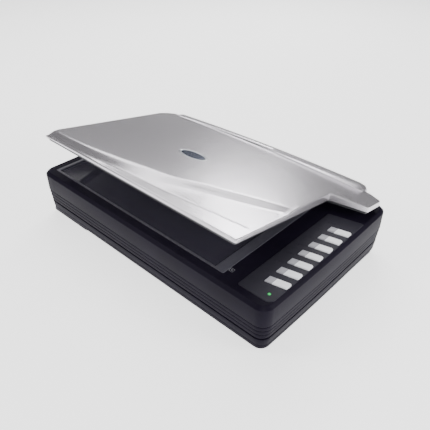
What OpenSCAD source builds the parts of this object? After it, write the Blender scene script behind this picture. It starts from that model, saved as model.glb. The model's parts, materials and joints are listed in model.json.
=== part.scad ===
// Large-format flatbed scanner: body, platen, scan carriage with its belt drive, keys and lifting lid.
// Millimetres, +Z up, front towards -Y. Origin: centre of the body on the resting plane.

/* [Body] */
// Width of the body at its widest, left to right
body_w = 620; // [616:1:630]
// Depth of the body, front to back
body_d = 381; // [380:0.5:386]
// Height of the flat top of the body above the resting plane
body_top = 106; // [105:0.5:108]
// How far the middle of each short end stands out past its corners
end_bulge = 2; // [1:0.5:3]
// Corner radius of the body in plan
corner_r = 22; // [18:1:26]
// Height of the feet
foot_h = 9; // [7:0.5:10]
// Wall thickness of the covers
wall = 3; // [2.5:0.25:3.5]
// Bevel round the top edge
bevel = 6; // [5:0.5:6.5]
// Height of the line where the two covers meet
parting_z = 37; // [36:0.5:38]

/* [Platen] */
// Left edge of the window in the platen frame
window_x0 = -278; // [-280:1:-276]
// Width of the window
window_w = 460; // [456:1:461]
// Front edge of the window
window_y0 = -164; // [-165:0.5:-163]
// Depth of the window
window_d = 314; // [308:1:316]
// Thickness of the platen glass
glass_t = 3; // [2.5:0.5:3]

/* [Lid] */
// Angle between the closed lid and the lid as it stands
lid_open = 10.6; // [8:0.1:14]
// Height of the middle of the lid's shell above its lower edge
lid_crown = 19; // [17:0.5:20]
// Depth of the lid, from its front edge to the hinge axis
lid_reach = 358; // [354:1:360]
// Wall thickness of the lid shell
lid_wall = 2.5; // [2:0.25:2.5]
// Depth of the liner rim below the shell
liner_h = 6.5; // [6:0.25:6.5]

/* [Keys] */
// Number of keys
key_count = 7; // [5:1:7]
// Distance from one key to the next
key_pitch = 30.1; // [28:0.1:30.5]
// Length of a key, left to right
key_l = 38; // [36:0.5:38.5]
// Width of a key along Y
key_w = 15.2; // [13:0.2:16]
// Angle of the keys' long edges to the width of the body
key_slant = 12.2; // [8:0.1:13]

/* [Carriage and drive] */
// Width of the scan carriage along its travel
carriage_w = 55; // [52:1:56]
// Length of the scan carriage, front to back
carriage_l = 300; // [290:1:302]
// Diameter of the guide rod
rod_d = 8; // [7:0.5:9]
// Gear module
gear_m = 1; // [1:0.5:1]
// Teeth on the motor pinion
pinion_teeth = 14; // [14:1:14]
// Teeth on the drive gear
gear_teeth = 56; // [56:1:56]
// Pitch radius of the belt pulleys
pulley_r = 8.75; // [8.5:0.25:9]

/* [Hidden] */
$fn = 48;
eps = 0.01;

// ---- shared helpers ----
function unit(v) = v / norm(v);
function turned(v, a) = [v.x * cos(a) - v.y * sin(a), v.x * sin(a) + v.y * cos(a)];

// Points of an arc of radius r that rounds the corner p between the points before and after it.
function rounded_corner(before, p, after, r, steps) =
  let (
    a = unit(before - p),
    b = unit(after - p),
    half = acos(a * b) / 2,
    start = p + a * r / tan(half),
    centre = p + unit(a + b) * r / sin(half),
    sweep = (180 - 2 * half) * sign(cross(-a, b))
  )
  [for (i = [0:steps]) centre + turned(start - centre, sweep * i / steps)];

// A closed outline with each corner rounded by its own radius; a radius of 0 leaves it sharp.
function rounded_path(points, radii, steps = 6) =
  let (n = len(points))
  [for (i = [0:n - 1])
    each (radii[i] > 0
      ? rounded_corner(points[(i + n - 1) % n], points[i], points[(i + 1) % n], radii[i], steps)
      : [points[i]])];

function rect_path(x0, y0, x1, y1, r, steps = 6) =
  rounded_path([[x0, y0], [x1, y0], [x1, y1], [x0, y1]], [r, r, r, r], steps);

module slab(path, z0, z1) {
  translate([0, 0, z0])
    linear_extrude(height = z1 - z0)
      polygon(path);
}

module block(x0, y0, z0, x1, y1, z1) {
  translate([x0, y0, z0])
    cube([x1 - x0, y1 - y0, z1 - z0]);
}

module rod_z(x, y, z0, z1, r) {
  translate([x, y, z0])
    cylinder(r = r, h = z1 - z0);
}

module rod_x(x0, x1, y, z, r) {
  translate([x0, y, z])
    rotate([0, 90, 0])
      cylinder(r = r, h = x1 - x0);
}

module rod_y(x, y0, y1, z, r) {
  translate([x, y0, z])
    rotate([-90, 0, 0])
      cylinder(r = r, h = y1 - y0);
}

// ---- derived sizes of the body ----
half_w = body_w / 2;
half_d = body_d / 2;
edge_z = body_top - bevel;
floor_z = foot_h + wall;
bottom_inset = 5;
parting_inset = 1.5;
lip_h = 9;
lip_count = 3;
lip_step = 0.8;
plate_z = body_top - wall;
corner_x = half_w - end_bulge - corner_r;
corner_y = half_d - corner_r;
end_r = (corner_y * corner_y + end_bulge * end_bulge) / (2 * end_bulge);
end_fn = 2400;

// Four rounded corners and the straight front and back between them, with an inset from the outline
// that changes evenly from the lower to the upper face.
module body_sides(z0, inset0, z1, inset1) {
  for (sx = [-1, 1], sy = [-1, 1])
    translate([sx * corner_x, sy * corner_y, z0])
      cylinder(r1 = corner_r - inset0, r2 = corner_r - inset1, h = z1 - z0);
  translate([-corner_x, 0, 0])
    rotate([90, 0, 90])
      linear_extrude(height = 2 * corner_x)
        polygon([[inset0 - half_d, z0], [half_d - inset0, z0], [half_d - inset1, z1], [inset1 - half_d, z1]]);
}

// The upper body: its short ends are slightly convex.
module body_block(z0, inset0, z1, inset1) {
  body_sides(z0, inset0, z1, inset1);
  intersection() {
    block(-half_w, -corner_y, z0, half_w, corner_y, z1);
    translate([end_r - half_w, 0, z0])
      cylinder(r1 = end_r - inset0, r2 = end_r - inset1, h = z1 - z0, $fn = end_fn);
    translate([half_w - end_r, 0, z0])
      cylinder(r1 = end_r - inset0, r2 = end_r - inset1, h = z1 - z0, $fn = end_fn);
  }
}

module body_wall(z0, z1, inset) {
  body_block(z0, inset, z1, inset);
}

// The tray below it: its short ends are flat.
module tray_block(z0, inset0, z1, inset1) {
  x = half_w - end_bulge;
  body_sides(z0, inset0, z1, inset1);
  translate([0, corner_y, 0])
    rotate([90, 0, 0])
      linear_extrude(height = 2 * corner_y)
        polygon([[inset0 - x, z0], [x - inset0, z0], [x - inset1, z1], [inset1 - x, z1]]);
}

// ---- places shared by several pieces ----
window_x1 = window_x0 + window_w;
window_y1 = window_y0 + window_d;
frame_bar = 5;
frame_right_bar = 21;
frame_x0 = window_x0 - frame_bar - 2;
frame_x1 = window_x1 + frame_right_bar;
frame_y0 = window_y0 - frame_bar;
frame_y1 = window_y1 + frame_bar;
frame_top = body_top + 0.6;
glass_top = body_top - 2;
glass_lap = 4;

hinge_y = half_d - 6.5;
hinge_z = body_top + 7.5;
hinge_x = 205;
leg_w = 27;
leg_y0 = hinge_y - 13;
leg_y1 = hinge_y - 3;
leg_bottom = 66;
leg_gap = 0.4;
knuckle_r = 5.5;
pin_r = 2.2;
pin_play = 0.05;

boss_points = [for (x = [-292, 0, 292], y = [-174, 176]) [x, y]];
boss_join_z = 42;
boss_r = 5.5;
screw_r = 1.5;
board_screw_r = 1.1;

board_t = 1.6;
board_z = 17;
port_z = board_z + board_t + 5.5;
usb_x = 70;
inlet_x = 112;
switch_x = 152;
rear_face = half_d - 4.4;
rear_low = 15;
rear_high = 33.5;
rear_inner = rear_face - wall;

module tray_boss(p) {
  rod_z(p.x, p.y, foot_h + wall / 2, boss_join_z, boss_r);
}

foot_h_in = 4;
foot_l = 123;
foot_w = 20;

// Plan of the four foot pads: two long pads along the front left and right rear edges, two set in.
foot_pads = [
  [[-half_w + 8, -half_d + 7], [foot_l, foot_w]],
  [[half_w - 8 - foot_w, 48], [foot_w, foot_l]],
  [[half_w - 70, -half_d + 45], [45, foot_w]],
  [[-half_w + 40, half_d - 62], [45, foot_w]]
];

module foot_solids(z0, z1, grow) {
  for (pad = foot_pads)
    slab(rect_path(pad[0].x - grow, pad[0].y - grow, pad[0].x + pad[1].x + grow,
      pad[0].y + pad[1].y + grow, 6), z0, z1);
}

// ---- body: covers, feet and platen ----
module bottom_cover() {
  color([0.16, 0.16, 0.18])
    difference() {
      union() {
        difference() {
          tray_block(foot_h, bottom_inset, parting_z - 1, parting_inset + lip_step);
          tray_block(floor_z, bottom_inset + wall, parting_z, parting_inset + lip_step + wall);
        }
        foot_solids(foot_h_in, floor_z - eps, 0);
        for (p = boss_points)
          tray_boss(p);
        for (p = [gear_centre, [spring_stop_x, belt_y]])
          rod_z(p.x, p.y, floor_z - eps, post_foot_z, post_foot_r);
        for (p = main_board_holes)
          rod_z(p.x, p.y, floor_z - eps, board_z, 3);
      }
      for (p = boss_points) {
        rod_z(p.x, p.y, foot_h_in - 1, 20, 3.6);
        rod_z(p.x, p.y, 19, boss_join_z + 1, screw_r + 0.3);
      }
      rod_z(gear_centre.x, gear_centre.y, floor_z, post_foot_z + 1, post_r);
      for (p = main_board_holes)
        rod_z(p.x, p.y, floor_z + 1, board_z + 1, board_screw_r);
      for (p = bracket_screw_points)
        rod_z(p.x, p.y, floor_z - 2, floor_z + 1, board_screw_r);
      block(usb_x - 14, rear_face, rear_low, switch_x + 14, half_d, rear_high);
      block(usb_x - 6.2, rear_inner - 1, port_z - 5.7, usb_x + 6.2, half_d, port_z + 5.7);
      rod_y(inlet_x, rear_inner - 3, half_d, port_z, 5.2);
      block(switch_x - 10, rear_inner - 3, port_z - 7, switch_x + 10, half_d, port_z + 7);
    }
}

module upper_cover() {
  color([0.15, 0.15, 0.17])
    difference() {
      union() {
        for (i = [0:lip_count - 1])
          body_wall(parting_z + i * lip_h, parting_z + (i + 1) * lip_h, (lip_count - i) * lip_step);
        body_wall(parting_z + lip_count * lip_h, edge_z, 0);
        body_block(edge_z, 0, body_top, bevel);
      }
      difference() {
        body_wall(parting_z - 1, plate_z, lip_count * lip_step + wall);
        for (s = [-1, 1])
          block(s * hinge_x - 17.5, leg_y0 - 3, leg_bottom - 4, s * hinge_x + 17.5, leg_y1 + 2.6, body_top);
        for (p = boss_points)
          rod_z(p.x, p.y, boss_join_z, body_top, boss_r - 1);
        for (p = key_board_posts)
          rod_z(p.x, p.y, key_board_z + board_t, body_top, 3);
      }
      slab(rect_path(frame_x0, frame_y0, frame_x1, frame_y1, 2), plate_z - 1, body_top + 1);
      for (s = [-1, 1])
        block(s * hinge_x - leg_w / 2 - leg_gap, leg_y0 - leg_gap, leg_bottom - 1,
          s * hinge_x + leg_w / 2 + leg_gap, leg_y1 + leg_gap, body_top + 1);
      for (i = [1:key_count])
        slab(key_path(i, 0.6), plate_z - 1, body_top + 1);
      rod_z(lamp_p.x, lamp_p.y, plate_z - 1, body_top + 1, lamp_r + 0.15);
      for (p = boss_points)
        rod_z(p.x, p.y, boss_join_z - 1, 56, screw_r);
      for (p = key_board_posts)
        rod_z(p.x, p.y, key_board_z, key_board_z + 8, board_screw_r);
    }
}

// The slightly raised field that the keys stand in; its rear end runs beside the lid's arm.
panel_x0 = 236;
panel_x1 = half_w - bevel;
panel_y0 = -172;
panel_end_y = 106;
panel_t = 1.2;
module control_panel() {
  path = rounded_path(
    [
      [panel_x0, panel_y0], [panel_x1 - 1.6, panel_y0], [panel_x1 - 0.2, 0],
      [panel_x1 - 0.8, panel_end_y], [panel_x0, panel_end_y - 15]
    ],
    [4, 12, 0, 3, 3]
  );
  color([0.2, 0.19, 0.21])
    difference() {
      slab(path, body_top, body_top + panel_t);
      for (i = [1:key_count])
        slab(key_path(i, 0.6), body_top - 1, body_top + 2);
      rod_z(lamp_p.x, lamp_p.y, body_top - 1, body_top + 2, lamp_r + 0.15);
    }
}

module feet() {
  color([0.05, 0.05, 0.05])
    foot_solids(0, foot_h_in, -2.5);
}

module platen_frame() {
  color([0.28, 0.29, 0.32])
    difference() {
      slab(rect_path(frame_x0, frame_y0, frame_x1, frame_y1, 2), glass_top - glass_t, frame_top);
      slab(rect_path(window_x0, window_y0, window_x1, window_y1, 1), 0, body_top * 2);
      block(window_x0 - glass_lap, window_y0 - glass_lap, 0,
        window_x1 + glass_lap, window_y1 + glass_lap, glass_top);
    }
}

module platen_glass() {
  color([0.75, 0.85, 0.85, 0.35])
    block(window_x0 - glass_lap + 0.2, window_y0 - glass_lap + 0.2, glass_top - glass_t,
      window_x1 + glass_lap - 0.2, window_y1 + glass_lap - 0.2, glass_top);
}

// Small diamond in a square beside the front right corner of the glass.
mark_p = [208, -153];
module alignment_mark() {
  color([0.45, 0.47, 0.5])
    translate([mark_p.x, mark_p.y, body_top])
      linear_extrude(height = 0.3)
        difference() {
          square(8, center = true);
          difference() {
            square(6.8, center = true);
            rotate(45)
              square(2.6, center = true);
          }
        }
}

module calibration_strip() {
  color([0.95, 0.95, 0.95])
    block(window_x0 - 3.4, window_y0 + 8, glass_top - glass_t - 0.6,
      window_x0 + 2, window_y1 - 8, glass_top - glass_t);
}

// ---- keys, lamp and their board ----
key_x = 282.7;
key_first_y = -126.6;
key_z0 = plate_z - 1.8;
key_top = body_top + 3;
key_travel = 1.2;
key_board_z = 90;
key_board_posts = [[268, -148], [268, 72], [296.5, -146], [296.5, 74]];
lamp_p = [287.5, -156];
lamp_r = 2.6;

function key_centre(i) = [key_x, key_first_y + (i - 1) * key_pitch];

// Slanted parallelogram of key i, with a rounder right end; grow widens it all round.
function key_path(i, grow) =
  let (
    c = key_centre(i),
    hl = key_l / 2 + grow,
    hw = key_w / 2 + grow,
    rise = hl * tan(key_slant)
  )
  rounded_path(
    [
      [c.x - hl, c.y - hw - rise], [c.x + hl, c.y - hw + rise],
      [c.x + hl, c.y + hw + rise], [c.x - hl, c.y + hw - rise]
    ],
    [1, 2.5, 4, 1]
  );

module key_cap(i) {
  c = key_centre(i);
  color([0.9, 0.9, 0.93]) {
    slab(key_path(i, 0), key_z0, key_top);
    slab(key_path(i, 1.4), key_z0 - 1.2, key_z0);
    rod_z(c.x, c.y, key_board_z + board_t + 5.8, key_z0 - 1.2, 1.8);
  }
}

module status_lamp() {
  color([0.1, 0.85, 0.3]) {
    rod_z(lamp_p.x, lamp_p.y, key_board_z + board_t, body_top + panel_t, lamp_r);
    intersection() {
      translate([lamp_p.x, lamp_p.y, body_top + panel_t - 3])
        sphere(r = 4);
      rod_z(lamp_p.x, lamp_p.y, body_top + panel_t - eps, body_top + 4, lamp_r);
    }
  }
}

module key_board() {
  color([0.1, 0.4, 0.2])
    difference() {
      block(262, -164, key_board_z, 301, 80, key_board_z + board_t);
      for (p = key_board_posts)
        rod_z(p.x, p.y, key_board_z - 1, key_board_z + board_t + 1, 1.3);
    }
}

module key_switches() {
  color([0.15, 0.15, 0.15])
    for (i = [1:key_count]) {
      c = key_centre(i);
      z = key_board_z + board_t;
      block(c.x - 3, c.y - 3, z, c.x + 3, c.y + 3, z + 3.4);
      rod_z(c.x, c.y, z + 3.4 - eps, z + 4.3, 1.7);
    }
}

// ---- electronics at the rear ----
main_x0 = 52;
main_x1 = 136;
main_y0 = 126;
main_y1 = rear_inner - 3.4;
main_board_holes = [for (x = [main_x0 + 5, main_x1 - 5], y = [main_y0 + 5, main_y1 - 12]) [x, y]];

module main_board() {
  color([0.05, 0.35, 0.18])
    difference() {
      block(main_x0, main_y0, board_z, main_x1, main_y1, board_z + board_t);
      for (p = main_board_holes)
        rod_z(p.x, p.y, board_z - 1, board_z + 3, board_screw_r);
    }
}

module board_parts() {
  z = board_z + board_t;
  color([0.1, 0.1, 0.1]) {
    block(80, 134, z, 100, 154, z + 1.6);
    block(108, 134, z, 122, 144, z + 1.2);
    block(108, 148, z, 122, 158, z + 1.2);
    rod_z(88, 162, z, z + 11, 4);
    rod_z(98, 162, z, z + 11, 4);
    rod_z(76, 160, z, z + 8, 2.5);
    block(60, 140, z, 66, 160, z + 6);
    block(104, 166, z, 120, 172, z + 5);
  }
}

module usb_socket() {
  y1 = rear_face + 0.6;
  color([0.75, 0.76, 0.78]) {
    difference() {
      block(usb_x - 6, y1 - 16, port_z - 5.5, usb_x + 6, y1, port_z + 5.5);
      block(usb_x - 4.3, y1 - 12, port_z - 4, usb_x + 4.3, y1 + 1, port_z + 4);
    }
    block(usb_x - 2.8, y1 - 12 - eps, port_z - 1.6, usb_x + 2.8, y1 - 2, port_z + 1.6);
  }
}

module power_inlet() {
  y1 = rear_face + 0.6;
  color([0.08, 0.08, 0.08])
    difference() {
      union() {
        rod_y(inlet_x, y1 - 6, y1, port_z, 5);
        block(inlet_x - 4.5, y1 - 14, board_z + board_t, inlet_x + 4.5, y1 - 6 + eps, port_z + 5);
      }
      rod_y(inlet_x, y1 - 10, y1 + 1, port_z, 2.9);
    }
  color([0.8, 0.8, 0.8])
    rod_y(inlet_x, y1 - 10 - eps, y1 - 1, port_z, 0.9);
}

rocker_axis_y = rear_face - 3;
module switch_housing() {
  y1 = rear_face + 1;
  color([0.07, 0.07, 0.07])
    difference() {
      union() {
        block(switch_x - 9.7, y1 - 15, port_z - 6.7, switch_x + 9.7, y1 - 1 + eps, port_z + 6.7);
        block(switch_x - 11, rear_face, port_z - 8, switch_x + 11, y1, port_z + 8);
      }
      block(switch_x - 8, y1 - 12, port_z - 5, switch_x + 8, y1 + 1, port_z + 5);
      rod_z(switch_x, rocker_axis_y, port_z - 6.2, port_z + 6.2, 1.25);
    }
}

// The rocker lies with its right half pressed in.
rocker_tilt = 8;
module power_rocker() {
  color([0.12, 0.12, 0.12])
    translate([switch_x, rocker_axis_y, port_z])
      rotate([0, 0, -rocker_tilt]) {
        intersection() {
          translate([-7.2, -3, -4.6])
            cube([14.4, 6.4, 9.2]);
          translate([0, -20, -5])
            cylinder(r = 23.2, h = 10, $fn = 96);
        }
        translate([0, 0, -6])
          cylinder(r = 1.2, h = 12);
      }
}

// ---- rod, rail, motor and belt ----
rod_r = rod_d / 2;
rod_y0 = 55;
rod_zc = 30;
rod_x0 = -298;
rod_x1 = 238;
rail_y = -120;
rail_top = 38;

module guide_rod() {
  color([0.78, 0.79, 0.8])
    rod_x(rod_x0, rod_x1, rod_y0, rod_zc, rod_r);
}

module rod_clips() {
  color([0.3, 0.3, 0.32])
    for (x = [rod_x0 + 1, rod_x1 - 9])
      difference() {
        block(x, rod_y0 - 9, floor_z, x + 8, rod_y0 + 9, rod_zc + rod_r + 3);
        rod_x(x - 1, x + 9, rod_y0, rod_zc, rod_r + 0.02);
      }
}

module support_rail() {
  color([0.7, 0.71, 0.72]) {
    block(-294, rail_y - 6, rail_top - 1.5, 232, rail_y + 6, rail_top);
    block(-294, rail_y - 1, floor_z, 232, rail_y + 1, rail_top - 1.5 + eps);
  }
}

belt_y = 96;
belt_z0 = 33;
belt_z1 = 39;
belt_t = 1.4;
pulley_body_r = pulley_r - belt_t / 2;
gear_centre = [222, belt_y];
idler_centre = [-284, belt_y];
gear_r = gear_m * gear_teeth / 2;
pinion_r = gear_m * pinion_teeth / 2;
motor_centre = [gear_centre.x + gear_r + pinion_r, belt_y];
gear_z0 = 22;
gear_z1 = 27;
post_r = 2.5;
post_foot_z = 20;
post_foot_r = 6;
tooth_play = 0.12;

// One gear tooth, pointing along +X: straight flanks at a pressure angle of 20 degrees.
module tooth(r) {
  half = gear_m * PI / 4 - tooth_play;
  tip = half - gear_m * tan(20);
  root = half + 1.25 * gear_m * tan(20) * (r > 20 ? 1 : 0.5);
  polygon([
    [r - 2 * gear_m, -root], [r - 1.25 * gear_m, -root], [r, -half], [r + gear_m, -tip],
    [r + gear_m, tip], [r, half], [r - 1.25 * gear_m, root], [r - 2 * gear_m, root]
  ]);
}

module gear(teeth, z0, z1, first) {
  r = gear_m * teeth / 2;
  translate([0, 0, z0])
    linear_extrude(height = z1 - z0)
      for (i = [0:teeth - 1])
        rotate(first + i * 360 / teeth)
          tooth(r);
  translate([0, 0, z0])
    cylinder(r = r - 1.25 * gear_m, h = z1 - z0);
}

module drive_gear() {
  color([0.93, 0.93, 0.9])
    translate([gear_centre.x, gear_centre.y, 0])
      difference() {
        union() {
          gear(gear_teeth, gear_z0, gear_z1, 0);
          translate([0, 0, gear_z1 - eps])
            cylinder(r = 11, h = 1.5);
          translate([0, 0, gear_z1 + 1])
            cylinder(r = pulley_body_r - 0.3, h = belt_z1 + 1 - gear_z1 - 1);
          translate([0, 0, belt_z1 + 0.6])
            cylinder(r = 11, h = 1);
        }
        translate([0, 0, gear_z0 - 1])
          cylinder(r = post_r + pin_play, h = 30);
      }
}

module gear_post() {
  color([0.75, 0.75, 0.77]) {
    rod_z(gear_centre.x, gear_centre.y, floor_z, belt_z1 + 2.2, post_r);
    rod_z(gear_centre.x, gear_centre.y, belt_z1 + 2, belt_z1 + 2.8, post_r + 1.5);
  }
}

module motor_pinion() {
  color([0.8, 0.7, 0.4])
    translate([motor_centre.x, motor_centre.y, 0])
      difference() {
        gear(pinion_teeth, gear_z0 - 1, gear_z1 + 1, 180 + 180 / pinion_teeth);
        translate([0, 0, gear_z0 - 2])
          cylinder(r = 2.55, h = 12);
      }
}

motor_side = 42;
motor_plate_z = 30;
module motor_bracket() {
  x = motor_centre.x;
  y = motor_centre.y;
  h = motor_side / 2 + 3;
  color([0.7, 0.72, 0.74])
    difference() {
      union() {
        block(x - 24, y - h, motor_plate_z, x + h, y + h, motor_plate_z + 1.5);
        for (yy = [y - h, y + h - 1.5])
          block(x - 8, yy, floor_z, x + h, yy + 1.5, motor_plate_z + eps);
        block(x + 2, y - h - 10, floor_z, x + 18, y - h + eps, floor_z + 1.5);
        block(x + 2, y + h - eps, floor_z, x + 18, y + h + 10, floor_z + 1.5);
      }
      rod_z(x, y, motor_plate_z - 1, motor_plate_z + 3, 11.2);
      rod_z(gear_centre.x, y, motor_plate_z - 1, motor_plate_z + 3, 13);
      for (p = motor_screw_points)
        rod_z(p.x, p.y, motor_plate_z - 1, motor_plate_z + 3, 1.7);
      for (p = bracket_screw_points)
        rod_z(p.x, p.y, floor_z - 1, floor_z + 3, 1.3);
    }
}

motor_screw_points = [for (a = [15.5, -15.5], b = [15.5, -15.5]) [motor_centre.x + a, motor_centre.y + b]];
bracket_screw_points = [for (s = [-1, 1]) [motor_centre.x + 10, motor_centre.y + s * (motor_side / 2 + 8)]];

module stepper_motor() {
  x = motor_centre.x;
  y = motor_centre.y;
  h = motor_side / 2;
  z = motor_plate_z + 1.5;
  color([0.35, 0.36, 0.38])
    difference() {
      union() {
        slab(rect_path(x - h, y - h, x + h, y + h, 5), z, z + 34);
        rod_z(x, y, z - 2, z + eps, 11);
        rod_z(x, y, gear_z0 - 1.5, z, 2.5);
      }
      for (p = motor_screw_points)
        rod_z(p.x, p.y, z - 1, z + 5, 1.5);
    }
}

// Flat belt loop round both pulleys.
module belt_loop(grow) {
  r = pulley_body_r + grow;
  for (c = [gear_centre, idler_centre])
    translate(c)
      circle(r = r);
  translate([idler_centre.x, belt_y - r])
    square([gear_centre.x - idler_centre.x, 2 * r]);
}

module drive_belt() {
  color([0.08, 0.08, 0.08])
    translate([0, 0, belt_z0])
      linear_extrude(height = belt_z1 - belt_z0)
        difference() {
          belt_loop(belt_t);
          belt_loop(0);
        }
}

module idler_pulley() {
  color([0.93, 0.93, 0.9])
    translate([idler_centre.x, idler_centre.y, 0])
      difference() {
        union() {
          translate([0, 0, belt_z0 - 1])
            cylinder(r = pulley_body_r - 0.3, h = belt_z1 - belt_z0 + 2);
          for (z = [belt_z0 - 1.6, belt_z1 + 0.6])
            translate([0, 0, z])
              cylinder(r = 10.5, h = 1);
        }
        translate([0, 0, 0])
          cylinder(r = 2 + pin_play, h = 60);
      }
}

spring_stop_x = -248;
spring_z = 18;
spring_r = 4;
spring_wire = 0.5;
plate_tab_x = -268;

module idler_plate() {
  color([0.7, 0.72, 0.74]) {
    block(-294, belt_y - 9, floor_z, plate_tab_x, belt_y + 9, floor_z + 1.5);
    block(plate_tab_x - 1.5, belt_y - 7, floor_z, plate_tab_x, belt_y + 7, spring_z + 6);
    rod_z(idler_centre.x, idler_centre.y, floor_z, belt_z1 + 2.4, 2);
  }
}

// Compression spring that pushes the idler plate away from the drive gear.
spring_turns = 6;
spring_sides = 6;
spring_rings = 72;
module tension_spring() {
  x0 = plate_tab_x + spring_wire + 0.1;
  x1 = spring_stop_x - post_foot_r - spring_wire - 0.1;
  function ring(i) =
    let (a = 360 * spring_turns * i / spring_rings, x = x0 + (x1 - x0) * i / spring_rings)
    [for (k = [0:spring_sides - 1])
      let (b = 360 * k / spring_sides, r = spring_r + spring_wire * cos(b))
      [x + spring_wire * sin(b), belt_y + r * cos(a), spring_z + r * sin(a)]];
  points = [for (i = [0:spring_rings]) each ring(i)];
  n = spring_sides;
  side_faces = [for (i = [0:spring_rings - 1], k = [0:n - 1])
    [i * n + k, i * n + (k + 1) % n, (i + 1) * n + (k + 1) % n, (i + 1) * n + k]];
  ends = [[for (k = [n - 1:-1:0]) k], [for (k = [0:n - 1]) spring_rings * n + k]];
  color([0.6, 0.6, 0.62])
    polyhedron(points = points, faces = concat(side_faces, ends), convexity = 8);
}

// Flat cable lying folded on the floor under the carriage.
module ribbon_cable() {
  color([0.92, 0.92, 0.95]) {
    block(-180, 130, floor_z, 48, 152, floor_z + 0.5);
    block(-180, 130, floor_z + 0.5 - eps, -150, 152, floor_z + 1);
  }
}

// ---- scan carriage ----
car_x0 = -280;
car_x1 = car_x0 + carriage_w;
car_y0 = -149;
car_y1 = car_y0 + carriage_l;
car_z0 = 44;
car_z1 = 89;
car_wall = 2.2;
bush_r = 7;

module carriage_housing() {
  ear_xs = [car_x0 + 1, car_x1 - 13];
  color([0.1, 0.1, 0.1])
    difference() {
      union() {
        difference() {
          block(car_x0, car_y0, car_z0, car_x1, car_y1, car_z1);
          block(car_x0 + car_wall, car_y0 + car_wall, car_z0 + car_wall,
            car_x1 - car_wall, car_y1 - car_wall, car_z1 + 1);
        }
        for (x = ear_xs)
          block(x, rod_y0 - 10, rod_zc - 8, x + 12, rod_y0 + 10, car_z0 + eps);
      }
      for (x = ear_xs)
        rod_x(x - 1, x + 13, rod_y0, rod_zc, bush_r);
    }
}

module rod_bushes() {
  color([0.75, 0.6, 0.3])
    for (x = [car_x0 + 1, car_x1 - 13])
      difference() {
        rod_x(x, x + 12, rod_y0, rod_zc, bush_r);
        rod_x(x - 1, x + 13, rod_y0, rod_zc, rod_r + pin_play);
      }
}

// Lid of the carriage, with the slit that light passes through.
module carriage_top() {
  xm = (car_x0 + car_x1) / 2;
  color([0.36, 0.37, 0.33])
    difference() {
      block(car_x0, car_y0, car_z1, car_x1, car_y1, car_z1 + 2);
      block(xm - 3, car_y0 + 6, car_z1 - 1, xm + 3, car_y1 - 6, car_z1 + 3);
    }
}

module slider_foot() {
  color([0.9, 0.9, 0.88]) {
    block(car_x0 + 17, rail_y - 4, rail_top + 0.3, car_x0 + 38, rail_y + 4, car_z0);
  }
}

module belt_clamp() {
  y = belt_y - pulley_body_r - belt_t / 2;
  xm = (car_x0 + car_x1) / 2;
  color([0.15, 0.15, 0.15])
    difference() {
      block(xm - 8, y - 4, belt_z0 - 2, xm + 8, y + 4, car_z0);
      block(xm - 9, y - belt_t / 2 - 0.3, belt_z0 - 3, xm + 9, y + belt_t / 2 + 0.3, belt_z1 + 0.4);
    }
}

lamp_x = (car_x0 + car_x1) / 2 - 9;
lamp_z = car_z1 - 6;
module scan_lamp() {
  color([0.95, 0.97, 1])
    rod_y(lamp_x, car_y0 + 4, car_y1 - 4, lamp_z, 1.6);
  color([0.85, 0.85, 0.85])
    for (y = [car_y0 + car_wall, car_y1 - car_wall - 8])
      rod_y(lamp_x, y, y + 8, lamp_z, 2.6);
}

module lamp_reflector() {
  color([0.85, 0.87, 0.88])
    translate([lamp_x, car_y1 - car_wall - 9, lamp_z])
      rotate([90, 0, 0])
        linear_extrude(height = carriage_l - 2 * car_wall - 18)
          difference() {
            union() {
              circle(r = 4.6);
              translate([-4.6, 0])
                square([0.6, car_z1 - lamp_z]);
            }
            circle(r = 4);
            rotate(-20)
              square([10, 10]);
          }
}

// Three strip mirrors that fold the light path inside the carriage.
mirror_places = [
  [[car_x0 + 26, car_z0 + 10], 45],
  [[car_x0 + 8, car_z0 + 12], -42],
  [[car_x0 + 8, car_z0 + 31], 42]
];
module mirrors() {
  color([0.8, 0.85, 0.9])
    for (m = mirror_places)
      translate([m[0].x, car_y0 + car_wall, m[0].y])
        rotate([0, m[1], 0])
          translate([-6, 0, -1])
            cube([12, carriage_l - 2 * car_wall, 2]);
}

lens_y = (car_y0 + car_y1) / 2;
lens_z = car_z0 + 30;
lens_barrel_r = 6.5;
module lens() {
  color([0.12, 0.12, 0.12])
    difference() {
      union() {
        rod_x(car_x0 + 28, car_x0 + 44, lens_y, lens_z, lens_barrel_r);
        block(car_x0 + 33, lens_y - 9, car_z0 + car_wall, car_x0 + 41, lens_y + 9, lens_z);
      }
      rod_x(car_x0 + 27, car_x0 + 31, lens_y, lens_z, 4.6);
    }
}

module sensor_board() {
  color([0.05, 0.35, 0.18])
    block(car_x1 - car_wall - 1.6, lens_y - 32, car_z0 + 20, car_x1 - car_wall, lens_y + 32, car_z0 + 42);
  color([0.2, 0.2, 0.2])
    block(car_x1 - car_wall - 4.4, lens_y - 22, car_z0 + 26,
      car_x1 - car_wall - 1.6, lens_y + 22, car_z0 + 34);
}

// ---- lid: everything here is drawn closed and turned about the hinge to where it stands ----
lid_x0 = -306;
lid_notch_x = 227;
lid_x1 = 300;
lid_front = hinge_y - lid_reach;
notch_y = 97.5;
arm_y = 115.5;
arm_back = 177;
lid_back = half_d - 0.2;
spine_x0 = -262;
spine_x1 = 262;
spine_y0 = 167;
// The spine follows its own flatter arc, so it stands higher above the crown towards the right.
spine_top_h = lid_crown + 5.4;
spine_peak_x = 80;
spine_r = 6600;
spine_end_h = 12.5;
side_drop = 8.5;
front_h = 6.8;
// The top slopes up steeply behind the front edge and eases over a second, longer run.
ridge_run = 18;
ridge_ease = 24;
ridge_drop = 2.5;
// A slanting step lowers the front right part of the top; its foot starts near the notch edge.
step_foot = [lid_notch_x - 27, lid_front + 128.5];
step_turn = 25.4;
step_foot_h = 9.5;
step_slope = 0.43;
step_fall = 0.019;
step_reach = 200;
step_top = 60;
shell_z = hinge_z;

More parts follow.
